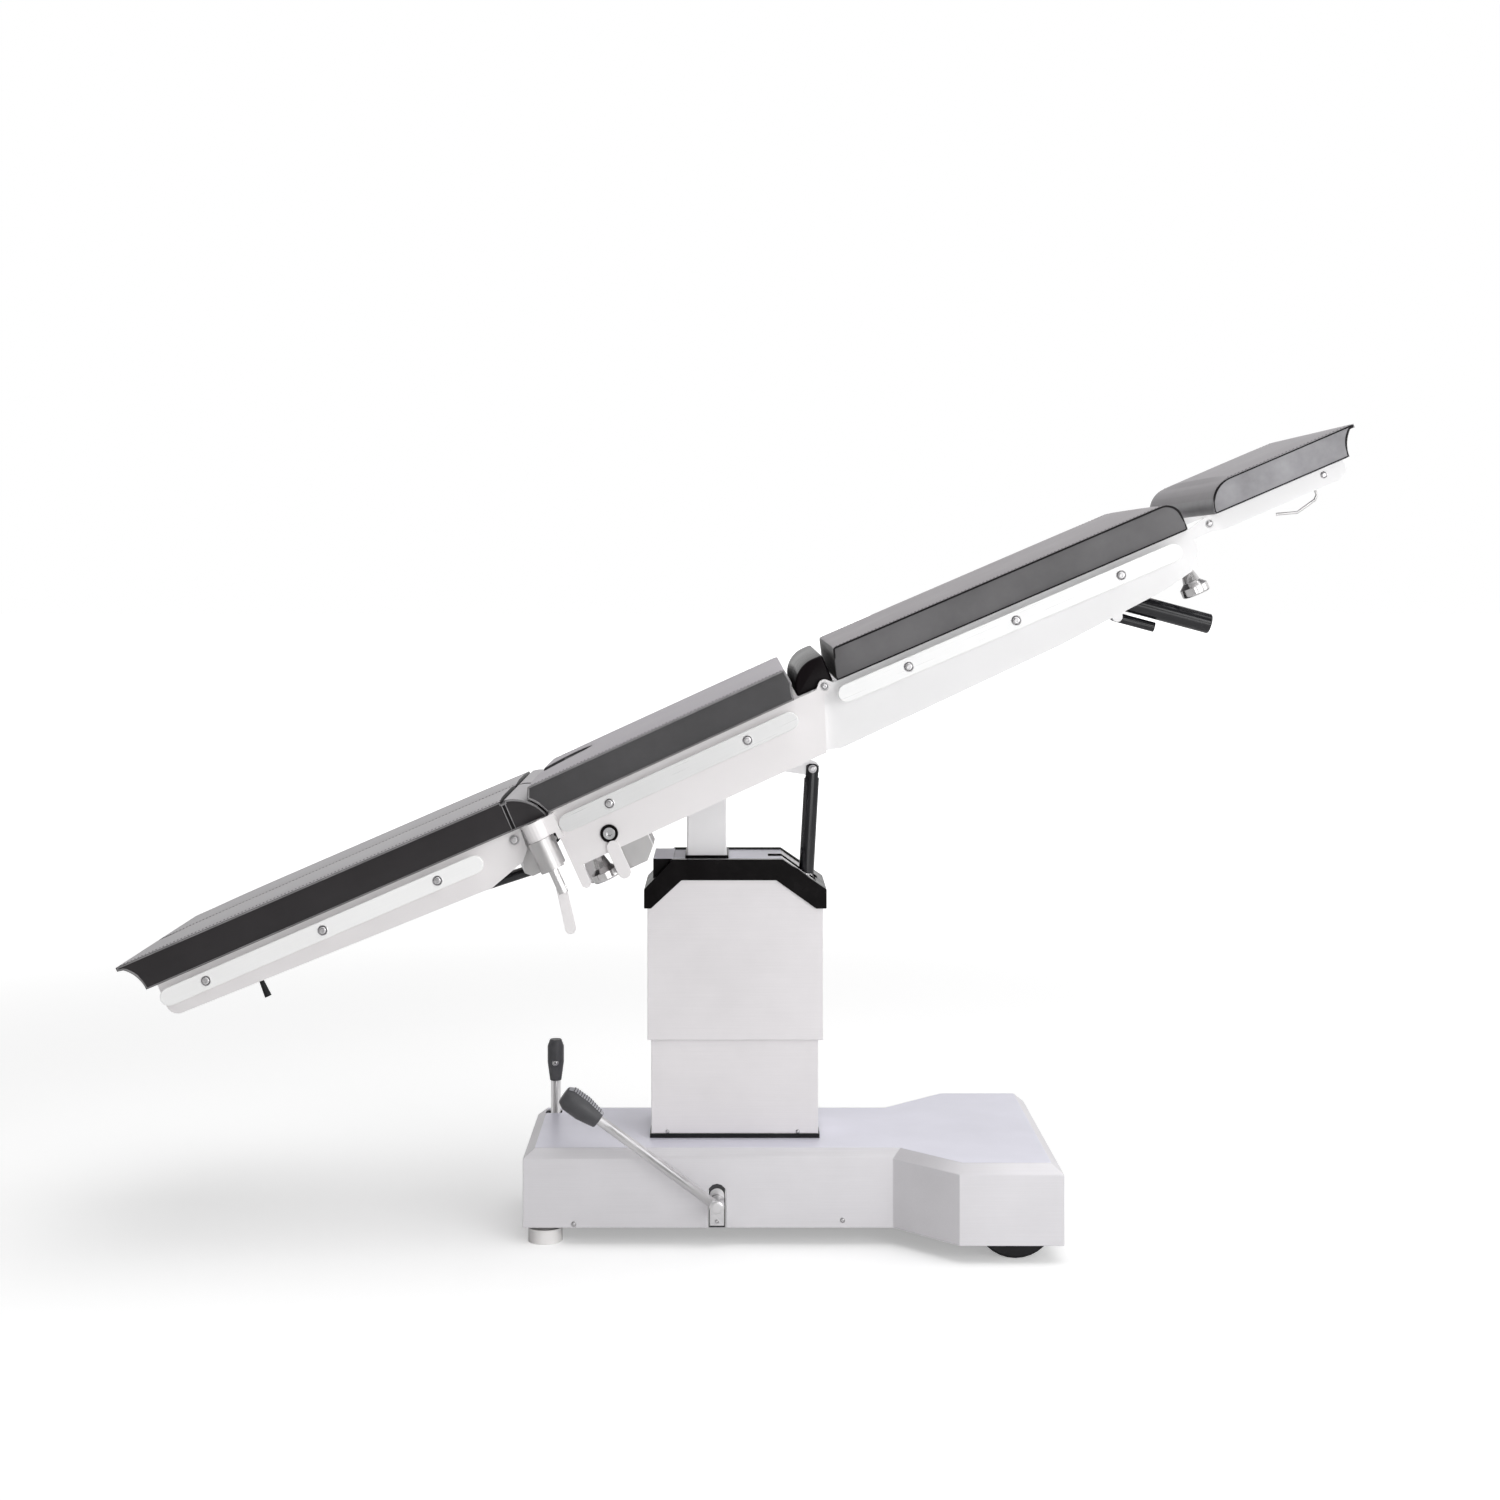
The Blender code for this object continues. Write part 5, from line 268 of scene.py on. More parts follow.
# per finish: maker, colour, roughness and what the maker also takes
finishPlan = {
    "sheetUpright": (brushedSteel, (0.84, 0.815, 0.83), 0.40, dict(metallic=0.22, grain=0.025)),
    "sheetBase": (brushedSteel, (0.77, 0.755, 0.78), 0.40, dict(metallic=0.22, grain=0.03)),
    # lighter, bluer copy of the sheet for up-facing faces: painted light from above
    "sheetTop": (brushedSteel, (0.87, 0.86, 0.96), 0.38, dict(metallic=0.12, grain=0.02)),
    "railSeat": (brushedSteel, (0.80, 0.80, 0.80), 0.34, dict(metallic=0.30, grain=0.02, cloud=0.02)),
    "railBack": (brushedSteel, (0.90, 0.90, 0.90), 0.34, dict(metallic=0.25, grain=0.02, cloud=0.02)),
    "railLeg": (brushedSteel, (1.0, 0.995, 0.99), 0.40, dict(metallic=0.0, grain=0.02)),
    "whiteCoat": (paintedCoat, (0.87, 0.845, 0.85), 0.42, {}),
    "backCoat": (paintedCoat, (0.88, 0.875, 0.88), 0.42, {}),
    # the post's white is brighter than the other white paint: partly painted light against the shade under
    # the top
    "postCoat": (paintedCoat, (0.98, 0.97, 0.98), 0.36, {}),
    "darkSteel": (paintedCoat, (0.04, 0.04, 0.045), 0.5, {}),
    "chrome": (polishedMetal, (0.84, 0.84, 0.85), 0.12, {}),
    "satinSteel": (polishedMetal, (0.70, 0.69, 0.69), 0.30, {}),
    "screwSteel": (polishedMetal, (0.70, 0.69, 0.70), 0.32, {}),
    "plateSteel": (polishedMetal, (0.82, 0.81, 0.82), 0.40, {}),
    "knobSteel": (polishedMetal, (0.70, 0.69, 0.69), 0.20, {}),
    "casting": (polishedMetal, (0.60, 0.59, 0.59), 0.38, dict(cast=0.5, pits=170)),
    "glossBlack": (mouldedPlastic, (0.003, 0.0022, 0.0025), 0.22, dict(grain=0.03, shine=0.08)),
    "tubeBlack": (mouldedPlastic, (0.006, 0.006, 0.008), 0.16, dict(grain=0.02, shine=0.5)),
    "softBlack": (mouldedPlastic, (0.010, 0.010, 0.011), 0.42, dict(grainScale=700, grain=0.2, shine=0.2)),
    "pedalGrey": (mouldedPlastic, (0.068, 0.068, 0.073), 0.42, dict(grainScale=700, grain=0.25)),
    # lighter grey for the grip's upper faces: painted highlight
    "pedalPad": (mouldedPlastic, (0.36, 0.36, 0.385), 0.38, dict(grainScale=700, grain=0.25)),
    "tyreRubber": (mouldedPlastic, (0.012, 0.012, 0.014), 0.6, dict(grain=0.3)),
    "footGrey": (mouldedPlastic, (0.93, 0.91, 0.90), 0.5, dict(grain=0.2)),
    "pipingBlack": (mouldedPlastic, (0.005, 0.004, 0.005), 0.35, dict(grainScale=900, shine=0.2)),
    # mid grey piping on the seat and legs and beside the legs' band: painted highlight on dark piping
    "pipingGrey": (mouldedPlastic, (0.20, 0.195, 0.20), 0.4, dict(grainScale=900, shine=0.5)),
    "thread": (mouldedPlastic, (0.035, 0.033, 0.035), 0.6, dict(grainScale=900)),
    # each pad's top finish is a lighter copy of its side vinyl: painted sheen on its up-facing faces
    "vinylSeat": (cushionVinyl, (0.066, 0.064, 0.067), 0.42, {}),
    "vinylSeatTop": (cushionVinyl, (0.38, 0.355, 0.385), 0.46, dict(mottle=0.05)),
    # the back pad's side is its dark vinyl lifted lighter: partly painted highlight
    "vinylBack": (cushionVinyl, (0.125, 0.122, 0.126), 0.40, dict(mottle=0.15)),
    "vinylBackTop": (cushionVinyl, (0.27, 0.25, 0.265), 0.46, dict(mottle=0.05)),
    # the head pad's side is dark vinyl painted light grey and strongly mottled: painted reflection
    "vinylHead": (cushionVinyl, (0.29, 0.285, 0.30), 0.40, dict(mottle=0.3)),
    "vinylHeadTop": (cushionVinyl, (0.27, 0.254, 0.27), 0.46, dict(mottle=0.05)),
    "vinylLeg": (cushionVinyl, (0.026, 0.023, 0.025), 0.42, {}),
    "vinylLegTop": (cushionVinyl, (0.42, 0.405, 0.42), 0.46, dict(mottle=0.05)),
    "vinylBlack": (cushionVinyl, (0.006, 0.004, 0.005), 0.30, dict(mottle=0.05, shine=0.1)),
}
# rails are brushed along their own section's slope
for rail, slope in (("railSeat", "seatTilt"), ("railBack", "backTilt"), ("railLeg", "legTilt")):
    finishPlan[rail][-1]["tilt"] = topPlanes[slope]
finishes = {}
for finishName, (maker, colour, roughness, extra) in finishPlan.items():
    finishes[finishName] = maker(finishName, colour, roughness, **extra)
print("finishes made", len(finishes))


def linkPiece(name, mesh, finish, body):
    piece = newObject(name, mesh)
    mesh.materials.clear()
    mesh.materials.append(finishes[finish])
    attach(piece, body)
    return piece


def bakeModifiers(piece):
    graph = bpy.context.evaluated_depsgraph_get()
    finished = bpy.data.meshes.new_from_object(piece.evaluated_get(graph))
    piece.modifiers.clear()
    old = piece.data
    piece.data = finished
    finished.name = piece.name
    bpy.data.meshes.remove(old)
    return piece


def smoothShade(mesh, degrees=35):
    for polygon in mesh.polygons:
        polygon.use_smooth = True
    mesh.set_sharp_from_angle(angle=math.radians(degrees))


def addBevel(piece, width, segments=2, degrees=30):
    bevel = piece.modifiers.new("edges", "BEVEL")
    bevel.width = width
    bevel.segments = segments
    bevel.limit_method = "ANGLE"
    bevel.angle_limit = math.radians(degrees)
    piece.modifiers.new("flatFaces", "WEIGHTED_NORMAL").keep_sharp = True


# how the frame's pieces are cleaned before their edges are rounded, and which faces count as top faces
dressing = {"merge": 0.00001, "flatDegrees": 0.6, "upFacing": 0.9}


# a rounded copy of a hard piece of the frame, in its place
def dressNode(node, finish, edge=0.001, segments=2, degrees=32):
    mesh = frame["nodes"][node].data.copy()
    work = bmesh.new()
    work.from_mesh(mesh)
    bmesh.ops.remove_doubles(work, verts=work.verts, dist=dressing["merge"])
    flat = math.radians(dressing["flatDegrees"])
    bmesh.ops.dissolve_limit(work, angle_limit=flat, verts=work.verts, edges=work.edges)
    work.to_mesh(mesh)
    work.free()
    piece = linkPiece(node + "Dressed", mesh, finish, bodyOfNode[node])
    smoothShade(mesh)
    if edge:
        addBevel(piece, edge, segments, degrees)
        bakeModifiers(piece)
    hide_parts(node)
    return piece


# a second finish on the faces of a piece that a test picks
def secondFinish(piece, finish, chosen):
    piece.data.materials.append(finishes[finish])
    index = len(piece.data.materials) - 1
    for polygon in piece.data.polygons:
        if chosen(polygon):
            polygon.material_index = index


def facesUp(polygon):
    return polygon.normal.z > dressing["upFacing"]


def paintNode(node, finish):
    thing = frame["nodes"][node]
    thing.data.materials.clear()
    thing.data.materials.append(finishes[finish])


# a star in a name stands for the near and the far one
def forBothSides(plan):
    pairs = {}
    for node, look in plan.items():
        for side in ("near", "far") if "*" in node else ("",):
            pairs[node.replace("*", side)] = look
    return pairs


# hard pieces: most get smooth round faces and softened edges, the rest keep the frame's own shape
dressed = forBothSides({
    "base_cover": ("sheetBase", "brushed_cover", 0.0022, 3),
    "lower_column_cover": ("sheetUpright", "brushed_cover", 0.002, 3),
    "upper_column_cover": ("sheetUpright", "brushed_cover", 0.002, 3),
    "column_trim": ("glossBlack", "black_gloss", 0.0012, 2),
    "seat_rail_*": ("railSeat", "rail_steel", 0.0012, 2),
    "back_rail_*": ("railBack", "rail_steel", 0.0012, 2),
    "leg_rail_*": ("railLeg", "rail_steel", 0.0012, 2),
    "lock_paddle": ("whiteCoat", "white_coat", 0.0008, 2),
    "tilt_gearbox": ("casting", "casting", 0.0015, 2),
    "leg_hub_*": ("casting", "casting", 0.0006, 2),
    "clamp_handle_*": ("satinSteel", "polished", 0.0005, 2),
    "pump_grip": ("pedalGrey", "black_rubber", 0.0025, 3),
    "brake_grip": ("pedalGrey", "black_rubber", 0.0025, 3),
    "pump_lever": ("plateSteel", "polished", 0, 1),
    "brake_lever": ("plateSteel", "polished", 0, 1),
    "seat_knob": ("knobSteel", "polished", 0.0006, 2),
    "head_knob": ("knobSteel", "polished", 0.0006, 2),
    "crank_socket": ("chrome", "polished", 0.0004, 2),
    "head_lever": ("satinSteel", "polished", 0, 1),
    "tilt_cylinder": ("tubeBlack", "black_gloss", 0.0008, 2),
    "tilt_rod": ("chrome", "polished", 0, 1),
    "back_grip": ("tubeBlack", "black_gloss", 0.0008, 2),
    "grip_trigger": ("tubeBlack", "black_gloss", 0.0006, 2),
    "head_wheel_*": ("tyreRubber", "black_rubber", 0.0008, 2),
    "castor_wheel": ("tyreRubber", "black_rubber", 0.0008, 2),
    "lock_foot_*": ("footGrey", "foot_grey", 0.0008, 2),
    "spring_tube_*": ("tubeBlack", "black_gloss", 0, 1),
    "spring_rod_*": ("chrome", "polished", 0, 1),
    "release_lever_*": ("softBlack", "black_rubber", 0.0005, 2),
})
painted = {
    "darkSteel": ("base_chassis", "lift_cylinder", "castor_fork"),
    "softBlack": ("column_gasket",),
    "chrome": ("lift_ram",),
    # the brighter white on post and saddle: partly painted light
    "postCoat": ("pivot_post", "saddle"),
    "whiteCoat": ("seat_frame", "leg_frame_near", "leg_frame_far"),
    "backCoat": ("back_frame", "head_frame"),
}
# the pump pedal's grip: place, direction and swell, its upper side painted lighter as a highlight, and the
# ribs across it
gripShape = {
    "hub": (-0.029, 0.0675), "run": 0.197, "rise": 0.1445, "start": 0.2243, "length": 0.067,
    "radius": 0.0195, "neckShare": 0.70, "swellShare": 0.16, "middleShare": 0.55, "highlightFacing": 0.74,
    "count": 13, "rib": 0.0007, "firstShare": 0.14, "lastShare": 0.90, "halfAngle": 40,
}
barAlong = Vector((-gripShape["run"], 0, gripShape["rise"])).normalized()
barUp = Vector((-barAlong.z, 0, barAlong.x)) * -1
# heights in the seat's plane: chromed sleeve above, white paddle below
sleeveLow = -0.030
paddleTop = -0.139
toSeat = seatPlane.inverted()
for node, (finish, slotName, edge, segments) in dressed.items():
    piece = dressNode(node, finish, edge, segments)
    # up-facing faces of the covers get the lighter sheet: painted light from above
    if node in ("base_cover", "lower_column_cover", "upper_column_cover"):
        secondFinish(piece, "sheetTop", facesUp)
    if node.startswith("leg_hub"):
        secondFinish(piece, "chrome", lambda polygon: (toSeat @ polygon.center).z > sleeveLow)
    # the grip's upward faces are painted lighter: painted highlight
    if node == "pump_grip":
        secondFinish(piece, "pedalPad", lambda polygon: polygon.normal.dot(barUp) > gripShape["highlightFacing"])
    if node.startswith("clamp_handle"):
        secondFinish(piece, "whiteCoat", lambda polygon: (toSeat @ polygon.center).z < paddleTop)
for finish, nodes in painted.items():
    for node in nodes:
        paintNode(node, finish)
print("hard pieces dressed", len(dressed), "painted", sum(map(len, painted.values())))


# points closer than this are one point
weldGap = 0.000001


def meshFrom(work, name):
    mesh = bpy.data.meshes.new(name)
    bmesh.ops.remove_doubles(work, verts=work.verts, dist=weldGap)
    bmesh.ops.recalc_face_normals(work, faces=work.faces)
    work.to_mesh(mesh)
    work.free()
    return mesh


# an outline along and up made thick across, or one along and across made thick upwards
def extruded(outline, low, high, upright=False):
    work = bmesh.new()
    corners = [(first, second, low) if upright else (first, low, second) for first, second in outline]
    face = work.faces.new([work.verts.new(corner) for corner in corners])
    for item in bmesh.ops.extrude_face_region(work, geom=[face])["geom"]:
        if isinstance(item, bmesh.types.BMVert):
            item.co[2 if upright else 1] = high
    return work


# a profile of (radius, height) turned about the local Z axis, with six sides from hexFrom on
def turnedMesh(name, profile, segments=32, hexFrom=None):
    work = bmesh.new()
    rings = []
    for index, (radius, height) in enumerate(profile):
        if radius < 1e-7:
            rings.append([work.verts.new((0, 0, height))])
            continue
        ring = []
        for step in range(segments):
            angle = 2 * math.pi * step / segments
            reach = radius
            if hexFrom is not None and index >= hexFrom:
                reach = radius / math.cos((angle + math.pi / 6) % (math.pi / 3) - math.pi / 6)
            ring.append(work.verts.new((reach * math.cos(angle), reach * math.sin(angle), height)))
        rings.append(ring)
    for below, above in zip(rings, rings[1:]):
        for step in range(segments):
            after = (step + 1) % segments
            corners = [below[step % len(below)], below[after % len(below)]]
            corners += [above[after % len(above)], above[step % len(above)]]
            corners = list(dict.fromkeys(corners))
            if len(corners) > 2:
                work.faces.new(corners)
    return meshFrom(work, name)


# geometry node groups
def newTree(name, numbers, objectInput=None):
    tree = bpy.data.node_groups.new(name, "GeometryNodeTree")
    sockets = tree.interface.new_socket
    sockets("Geometry", in_out="INPUT", socket_type="NodeSocketGeometry")
    if objectInput:
        sockets(objectInput, in_out="INPUT", socket_type="NodeSocketObject")
    for label, value in numbers.items():
        sockets(label, in_out="INPUT", socket_type="NodeSocketFloat").default_value = value
    sockets("Finish", in_out="INPUT", socket_type="NodeSocketMaterial")
    sockets("Geometry", in_out="OUTPUT", socket_type="NodeSocketGeometry")
    return tree, addNode(tree, "NodeGroupInput").outputs


def endTree(tree, inside, geometry):
    real = fromNode(tree, "GeometryNodeRealizeInstances", "Geometry", {"Geometry": geometry})
    given = {"Geometry": real, "Material": inside["Finish"]}
    covered = fromNode(tree, "GeometryNodeSetMaterial", "Geometry", given)
    addNode(tree, "NodeGroupOutput", {"Geometry": covered})
    return tree


def alignedTo(tree, vector, axis):
    return fromNode(tree, "FunctionNodeAlignEulerToVector", "Rotation", {"Vector": vector}, axis=axis)


def cordAlongPathTree():
    tree, inside = newTree("cordAlongPath", {"Radius": 0.0016, "Spacing": 0.004})
    curve = fromNode(tree, "GeometryNodeMeshToCurve", "Curve", {"Mesh": inside["Geometry"]})
    spaced = {"Curve": curve, "Length": inside["Spacing"]}
    even = fromNode(tree, "GeometryNodeResampleCurve", "Curve", spaced, mode="LENGTH")
    section = {"Resolution": 8, "Radius": inside["Radius"]}
    circle = fromNode(tree, "GeometryNodeCurvePrimitiveCircle", "Curve", section)
    swept = {"Curve": even, "Profile Curve": circle, "Fill Caps": True}
    cord = {"Geometry": fromNode(tree, "GeometryNodeCurveToMesh", "Mesh", swept)}
    return endTree(tree, inside, fromNode(tree, "GeometryNodeSetShadeSmooth", "Geometry", cord))


def stitchesAlongPathTree():
    tree, inside = newTree("stitchesAlongPath", {"Spacing": 0.006, "Thread": 0.00045, "Length": 3.6})
    curve = fromNode(tree, "GeometryNodeMeshToCurve", "Curve", {"Mesh": inside["Geometry"]})
    spaced = {"Curve": curve, "Length": inside["Spacing"]}
    points = addNode(tree, "GeometryNodeCurveToPoints", spaced, mode="LENGTH").outputs
    ball = {"Segments": 6, "Rings": 4, "Radius": inside["Thread"]}
    placed = {
        "Points": points["Points"],
        "Instance": fromNode(tree, "GeometryNodeMeshUVSphere", "Mesh", ball),
        "Rotation": alignedTo(tree, points["Tangent"], "X"),
        "Scale": fromNode(tree, "ShaderNodeCombineXYZ", "Vector", {"X": inside["Length"], "Y": 1, "Z": 1}),
    }
    return endTree(tree, inside, fromNode(tree, "GeometryNodeInstanceOnPoints", "Instances", placed))


def fastenersOnPointsTree():
    tree, inside = newTree("fastenersOnPoints", {"Size": 1.0}, "Fastener")
    named = {"Name": "facing"}
    facing = fromNode(tree, "GeometryNodeInputNamedAttribute", "Attribute", named, data_type="FLOAT_VECTOR")
    placed = {
        "Points": inside["Geometry"],
        "Instance": fromNode(tree, "GeometryNodeObjectInfo", "Geometry", {"Object": inside["Fastener"]}),
        "Rotation": alignedTo(tree, facing, "Z"),
        "Scale": inside["Size"],
    }
    return endTree(tree, inside, fromNode(tree, "GeometryNodeInstanceOnPoints", "Instances", placed))


trees = {
    "cord": cordAlongPathTree(),
    "stitches": stitchesAlongPathTree(),
    "fasteners": fastenersOnPointsTree(),
}


# runs a node group on a mesh and keeps the result as a plain piece
def growPiece(name, mesh, treeName, values, finish, body, matrix=None):
    piece = newObject(name, mesh)
    modifier = piece.modifiers.new("grow", "NODES")
    modifier.node_group = trees[treeName]
    given = {**values, "Finish": finishes[finish]}
    for item in trees[treeName].interface.items_tree:
        if item.item_type == "SOCKET" and item.in_out == "INPUT" and item.name in given:
            modifier[item.identifier] = given[item.name]
    bakeModifiers(piece)
    if matrix is not None:
        piece.data.transform(matrix)
    smoothShade(piece.data, 40)
    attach(piece, body)
    return piece


def pathMesh(name, loops):
    work = bmesh.new()
    for points, closed in loops:
        corners = [work.verts.new(point) for point in points]
        for first, second in zip(corners, corners[1:] + corners[:1] if closed else corners[1:]):
            work.edges.new((first, second))
    mesh = bpy.data.meshes.new(name)
    work.to_mesh(mesh)
    work.free()
    return mesh


def pointMesh(name, places):
    mesh = bpy.data.meshes.new(name)
    mesh.from_pydata([place for place, _ in places], [], [])
    facing = mesh.attributes.new("facing", "FLOAT_VECTOR", "POINT")
    for index, (_, direction) in enumerate(places):
        facing.data[index].vector = direction
    return mesh


print("node groups made", len(trees))


# padded sections: outline in a section's plane, made wide, crowned, drawn in and rounded
padFit = {
    "half": 0.2488, "thickness": 0.048, "crown": 0.0052, "draw": 0.0022, "sideBulge": 0.0014,
    "round": 0.0055, "floorGap": 0.0003, "kneeArc": 0.0615, "kneeGap": 0.003,
    "hipArc": 0.044, "hipGap": 0.006, "hipEnd": 179.6, "stepAlong": 0.022, "stepAcross": 0.024,
    "sheenFacing": 0.5, "topShare": 0.999, "slack": 0.001, "bevelDegrees": 42, "smoothDegrees": 60,
}
pipingFit = {
    "radius": 0.0019, "sink": 0.0016, "spacing": 0.003, "bayFrom": 0.002, "bayTop": 0.0006, "bayLow": 0.004,
    "bandRadius": 0.0008, "bandSink": 0.0003, "bandShares": (0.06, 0.25, 0.5, 0.75, 0.9),
}
stitchFit = {
    "inFromEdge": 0.0085, "endGap": 0.006, "points": 25,
    "spacing": 0.0058, "thread": 0.00042, "rise": 0.0001,
}


def arcPoints(centre, radius, startDegrees, endDegrees, steps=16):
    points = []
    for step in range(steps + 1):
        angle = math.radians(startDegrees + (endDegrees - startDegrees) * step / steps)
        points.append((centre[0] + radius * math.cos(angle), centre[1] + radius * math.sin(angle)))
    return points


def crownAt(y, u, span, ends):
    across = abs(2 * (y - span[0]) / (span[1] - span[0]) - 1)
    along = abs(2 * (u - ends[0]) / (ends[1] - ends[0]) - 1)
    return padFit["crown"] * (1 - across ** 4) * (1 - along ** 6)


# how far a pad's side face stands in from its straight width at a height
def sideDraw(w, levels):
    height = min(1, max(0, (w - levels[0]) / (levels[1] - levels[0])))
    return padFit["draw"] * (1 - height) - padFit["sideBulge"] * math.sin(math.pi * height)


def lengthEnds(outline):
    return min(u for u, _ in outline), max(u for u, _ in outline)


def steps(low, high, size):
    count = max(2, round((high - low) / size))
    return [low + (high - low) * index / count for index in range(1, count)]


def padMesh(name, outline, span, levels, band):
    work = extruded(outline, *span)
    ends = lengthEnds(outline)
    cuts = [((u, 0, 0), (1, 0, 0)) for u in (*steps(*ends, padFit["stepAlong"]), *band)]
    cuts += [((0, y, 0), (0, 1, 0)) for y in steps(*span, padFit["stepAcross"])]
    cuts += [((0, 0, w), (0, 0, 1)) for w in steps(*levels, padFit["thickness"] / 4)]
    for place, direction in cuts:
        geometry = work.verts[:] + work.edges[:] + work.faces[:]
        bmesh.ops.bisect_plane(work, geom=geometry, plane_co=place, plane_no=direction, dist=weldGap)
    middle, half = sum(span) / 2, (span[1] - span[0]) / 2
    for vertex in work.verts:
        u, y, w = vertex.co
        if (w - levels[0]) / (levels[1] - levels[0]) > padFit["topShare"]:
            vertex.co.z += crownAt(y, u, span, ends)
        if abs(abs(y - middle) - half) < weldGap * 10:
            vertex.co.y += math.copysign(sideDraw(w, levels), middle - y)
    return meshFrom(work, name)


def insetLoop(points, distance):
    corners = [Vector(point) for point in points]
    following = corners[1:] + corners[:1]
    area = sum(here.x * after.y - after.x * here.y for here, after in zip(corners, following))
    turn = 1 if area > 0 else -1
    moved = []
    for before, here, after in zip(corners[-1:] + corners[:-1], corners, following):
        first, second = (here - before).normalized(), (after - here).normalized()
        normal = Vector((-first.y - second.y, first.x + second.x)) * turn
        if normal.length < 1e-6:
            normal = Vector((-first.y, first.x)) * turn
        normal.normalize()
        slant = max(0.5, normal.dot(Vector((-first.y, first.x)) * turn))
        moved.append(here + normal * distance / slant)
    return [tuple(point) for point in moved]


# the cut-out in a pad, from an outline along and across
def cutBay(pad, bay, low, high):
    cutter = newObject("bay", meshFrom(extruded(bay, low, high, upright=True), "bay"))
    opening = pad.modifiers.new("bay", "BOOLEAN")
    opening.operation = "DIFFERENCE"
    opening.solver = "EXACT"
    opening.object = cutter
    bakeModifiers(pad)
    bpy.data.objects.remove(cutter, do_unlink=True)


# a pad's top faces get a lighter copy of its vinyl as painted sheen, and the band across its side is black
def paintPad(mesh, sideAndSheen, bandFloor, band):
    mesh.materials.clear()
    for finish in (*sideAndSheen, "pipingBlack") if band else sideAndSheen:
        mesh.materials.append(finishes[finish])
    for polygon in mesh.polygons:
        # up-facing faces take the lighter finish: painted sheen
        polygon.material_index = 1 if polygon.normal.z > padFit["sheenFacing"] else 0
        if band and band[0] < polygon.center.x < band[1] and polygon.center.z > bandFloor:
            polygon.material_index = 2


# along each side of a pad: piping, thin lines beside its band, a row of stitches on top
def growSeams(node, outline, span, levels, plane, piping, bay, inner, band):
    floor, top = levels
    ends = lengthEnds(outline)
    topRun = [u for u, w in outline if w > top - padFit["slack"]]
    rowLow, rowHigh = min(topRun) + stitchFit["endGap"], max(topRun) - stitchFit["endGap"]
    last = stitchFit["points"] - 1
    along = [rowLow + (rowHigh - rowLow) * index / last for index in range(last + 1)]
    heights = [floor + (top - floor) * share for share in pipingFit["bandShares"]]
    ring = insetLoop(outline, pipingFit["sink"])
    loops, innerLoops, bandLines, rows = [], [], [], []
    for y, inward in zip(span, (1, -1)):
        outer = abs(y) > padFit["half"] - padFit["slack"]
        loop = [(u, y + inward * (pipingFit["sink"] + sideDraw(w, levels)), w) for u, w in ring]
        (loops if outer or inner is None else innerLoops).append((loop, True))
        for u in band if outer else ():
            line = [(u, y + inward * (sideDraw(w, levels) + pipingFit["bandSink"]), w) for w in heights]
            bandLines.append((line, False))
        rowY = y + inward * stitchFit["inFromEdge"]
        row = [(u, rowY, top + crownAt(rowY, u, span, ends) + stitchFit["rise"]) for u in along]
        rows.append((row, False))
    for w in (top - pipingFit["bayTop"], floor + pipingFit["bayLow"]) if bay else ():
        loops.append(([(u, y, w) for u, y in bay if u > ends[0] + pipingFit["bayFrom"]], False))
    cord = {"Radius": pipingFit["radius"], "Spacing": pipingFit["spacing"]}
    thin = {**cord, "Radius": pipingFit["bandRadius"]}
    stitch = {"Spacing": stitchFit["spacing"], "Thread": stitchFit["thread"]}
    for kind, lines, treeName, values, finish in (
        ("Piping", loops, "cord", cord, piping),
        ("InnerPiping", innerLoops, "cord", cord, inner),
        ("BandLines", bandLines, "cord", thin, "pipingGrey"),
        ("Stitches", rows, "stitches", stitch, "thread"),
    ):
        if lines:
            mesh = pathMesh(node + kind, lines)
            growPiece(node + kind, mesh, treeName, values, finish, bodyOfNode[node], plane)


# one pad with its seams; a look names the finishes of its sides, its top with painted sheen, and its piping
def makePad(node, outline, span, levels, plane, look, bay=(), inner=None, band=()):
    body = bodyOfNode[node]
    pad = newObject(node + "Pad", padMesh(node + "Pad", outline, span, levels, band))
    if bay:
        cutBay(pad, bay, -levels[1], levels[1] * 2)
    addBevel(pad, padFit["round"], 3, padFit["bevelDegrees"])
    bakeModifiers(pad)
    paintPad(pad.data, look[:2], levels[0] + padFit["draw"], band)
    pad.data.transform(plane)
    smoothShade(pad.data, padFit["smoothDegrees"])
    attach(pad, body)
    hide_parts(node)
    growSeams(node, outline, span, levels, plane, look[2], bay, inner, band)


half = padFit["half"]
topW = padFit["thickness"]
levels = (padFit["floorGap"], topW)
kneeReach = padFit["kneeArc"] + padFit["kneeGap"]
kneeU, kneeW = topPlanes["knee"]

seatShape = {
    "lipU": -0.475, "legTopU": -0.467, "hipTopU": -0.045,
    "bayHalf": 0.055, "bayEndU": -0.375, "bayOpenU": -0.517,
}
kneeLow = math.degrees(math.asin((padFit["floorGap"] - kneeW) / kneeReach))
kneeHigh = math.degrees(math.acos((seatShape["lipU"] - kneeU) / kneeReach))
seatOutline = [
    *arcPoints((0, 0), padFit["hipArc"] + padFit["hipGap"], 150, padFit["hipEnd"], 6),
    *arcPoints((kneeU, kneeW), kneeReach, kneeLow, kneeHigh),
    (seatShape["legTopU"], topW),
    (seatShape["hipTopU"], topW),
]
bayCentre = seatShape["bayEndU"] - seatShape["bayHalf"]
seatBay = [
    (seatShape["bayOpenU"], -seatShape["bayHalf"]),
    *arcPoints((bayCentre, 0), seatShape["bayHalf"], -90, 90, 24),
    (seatShape["bayOpenU"], seatShape["bayHalf"]),
]
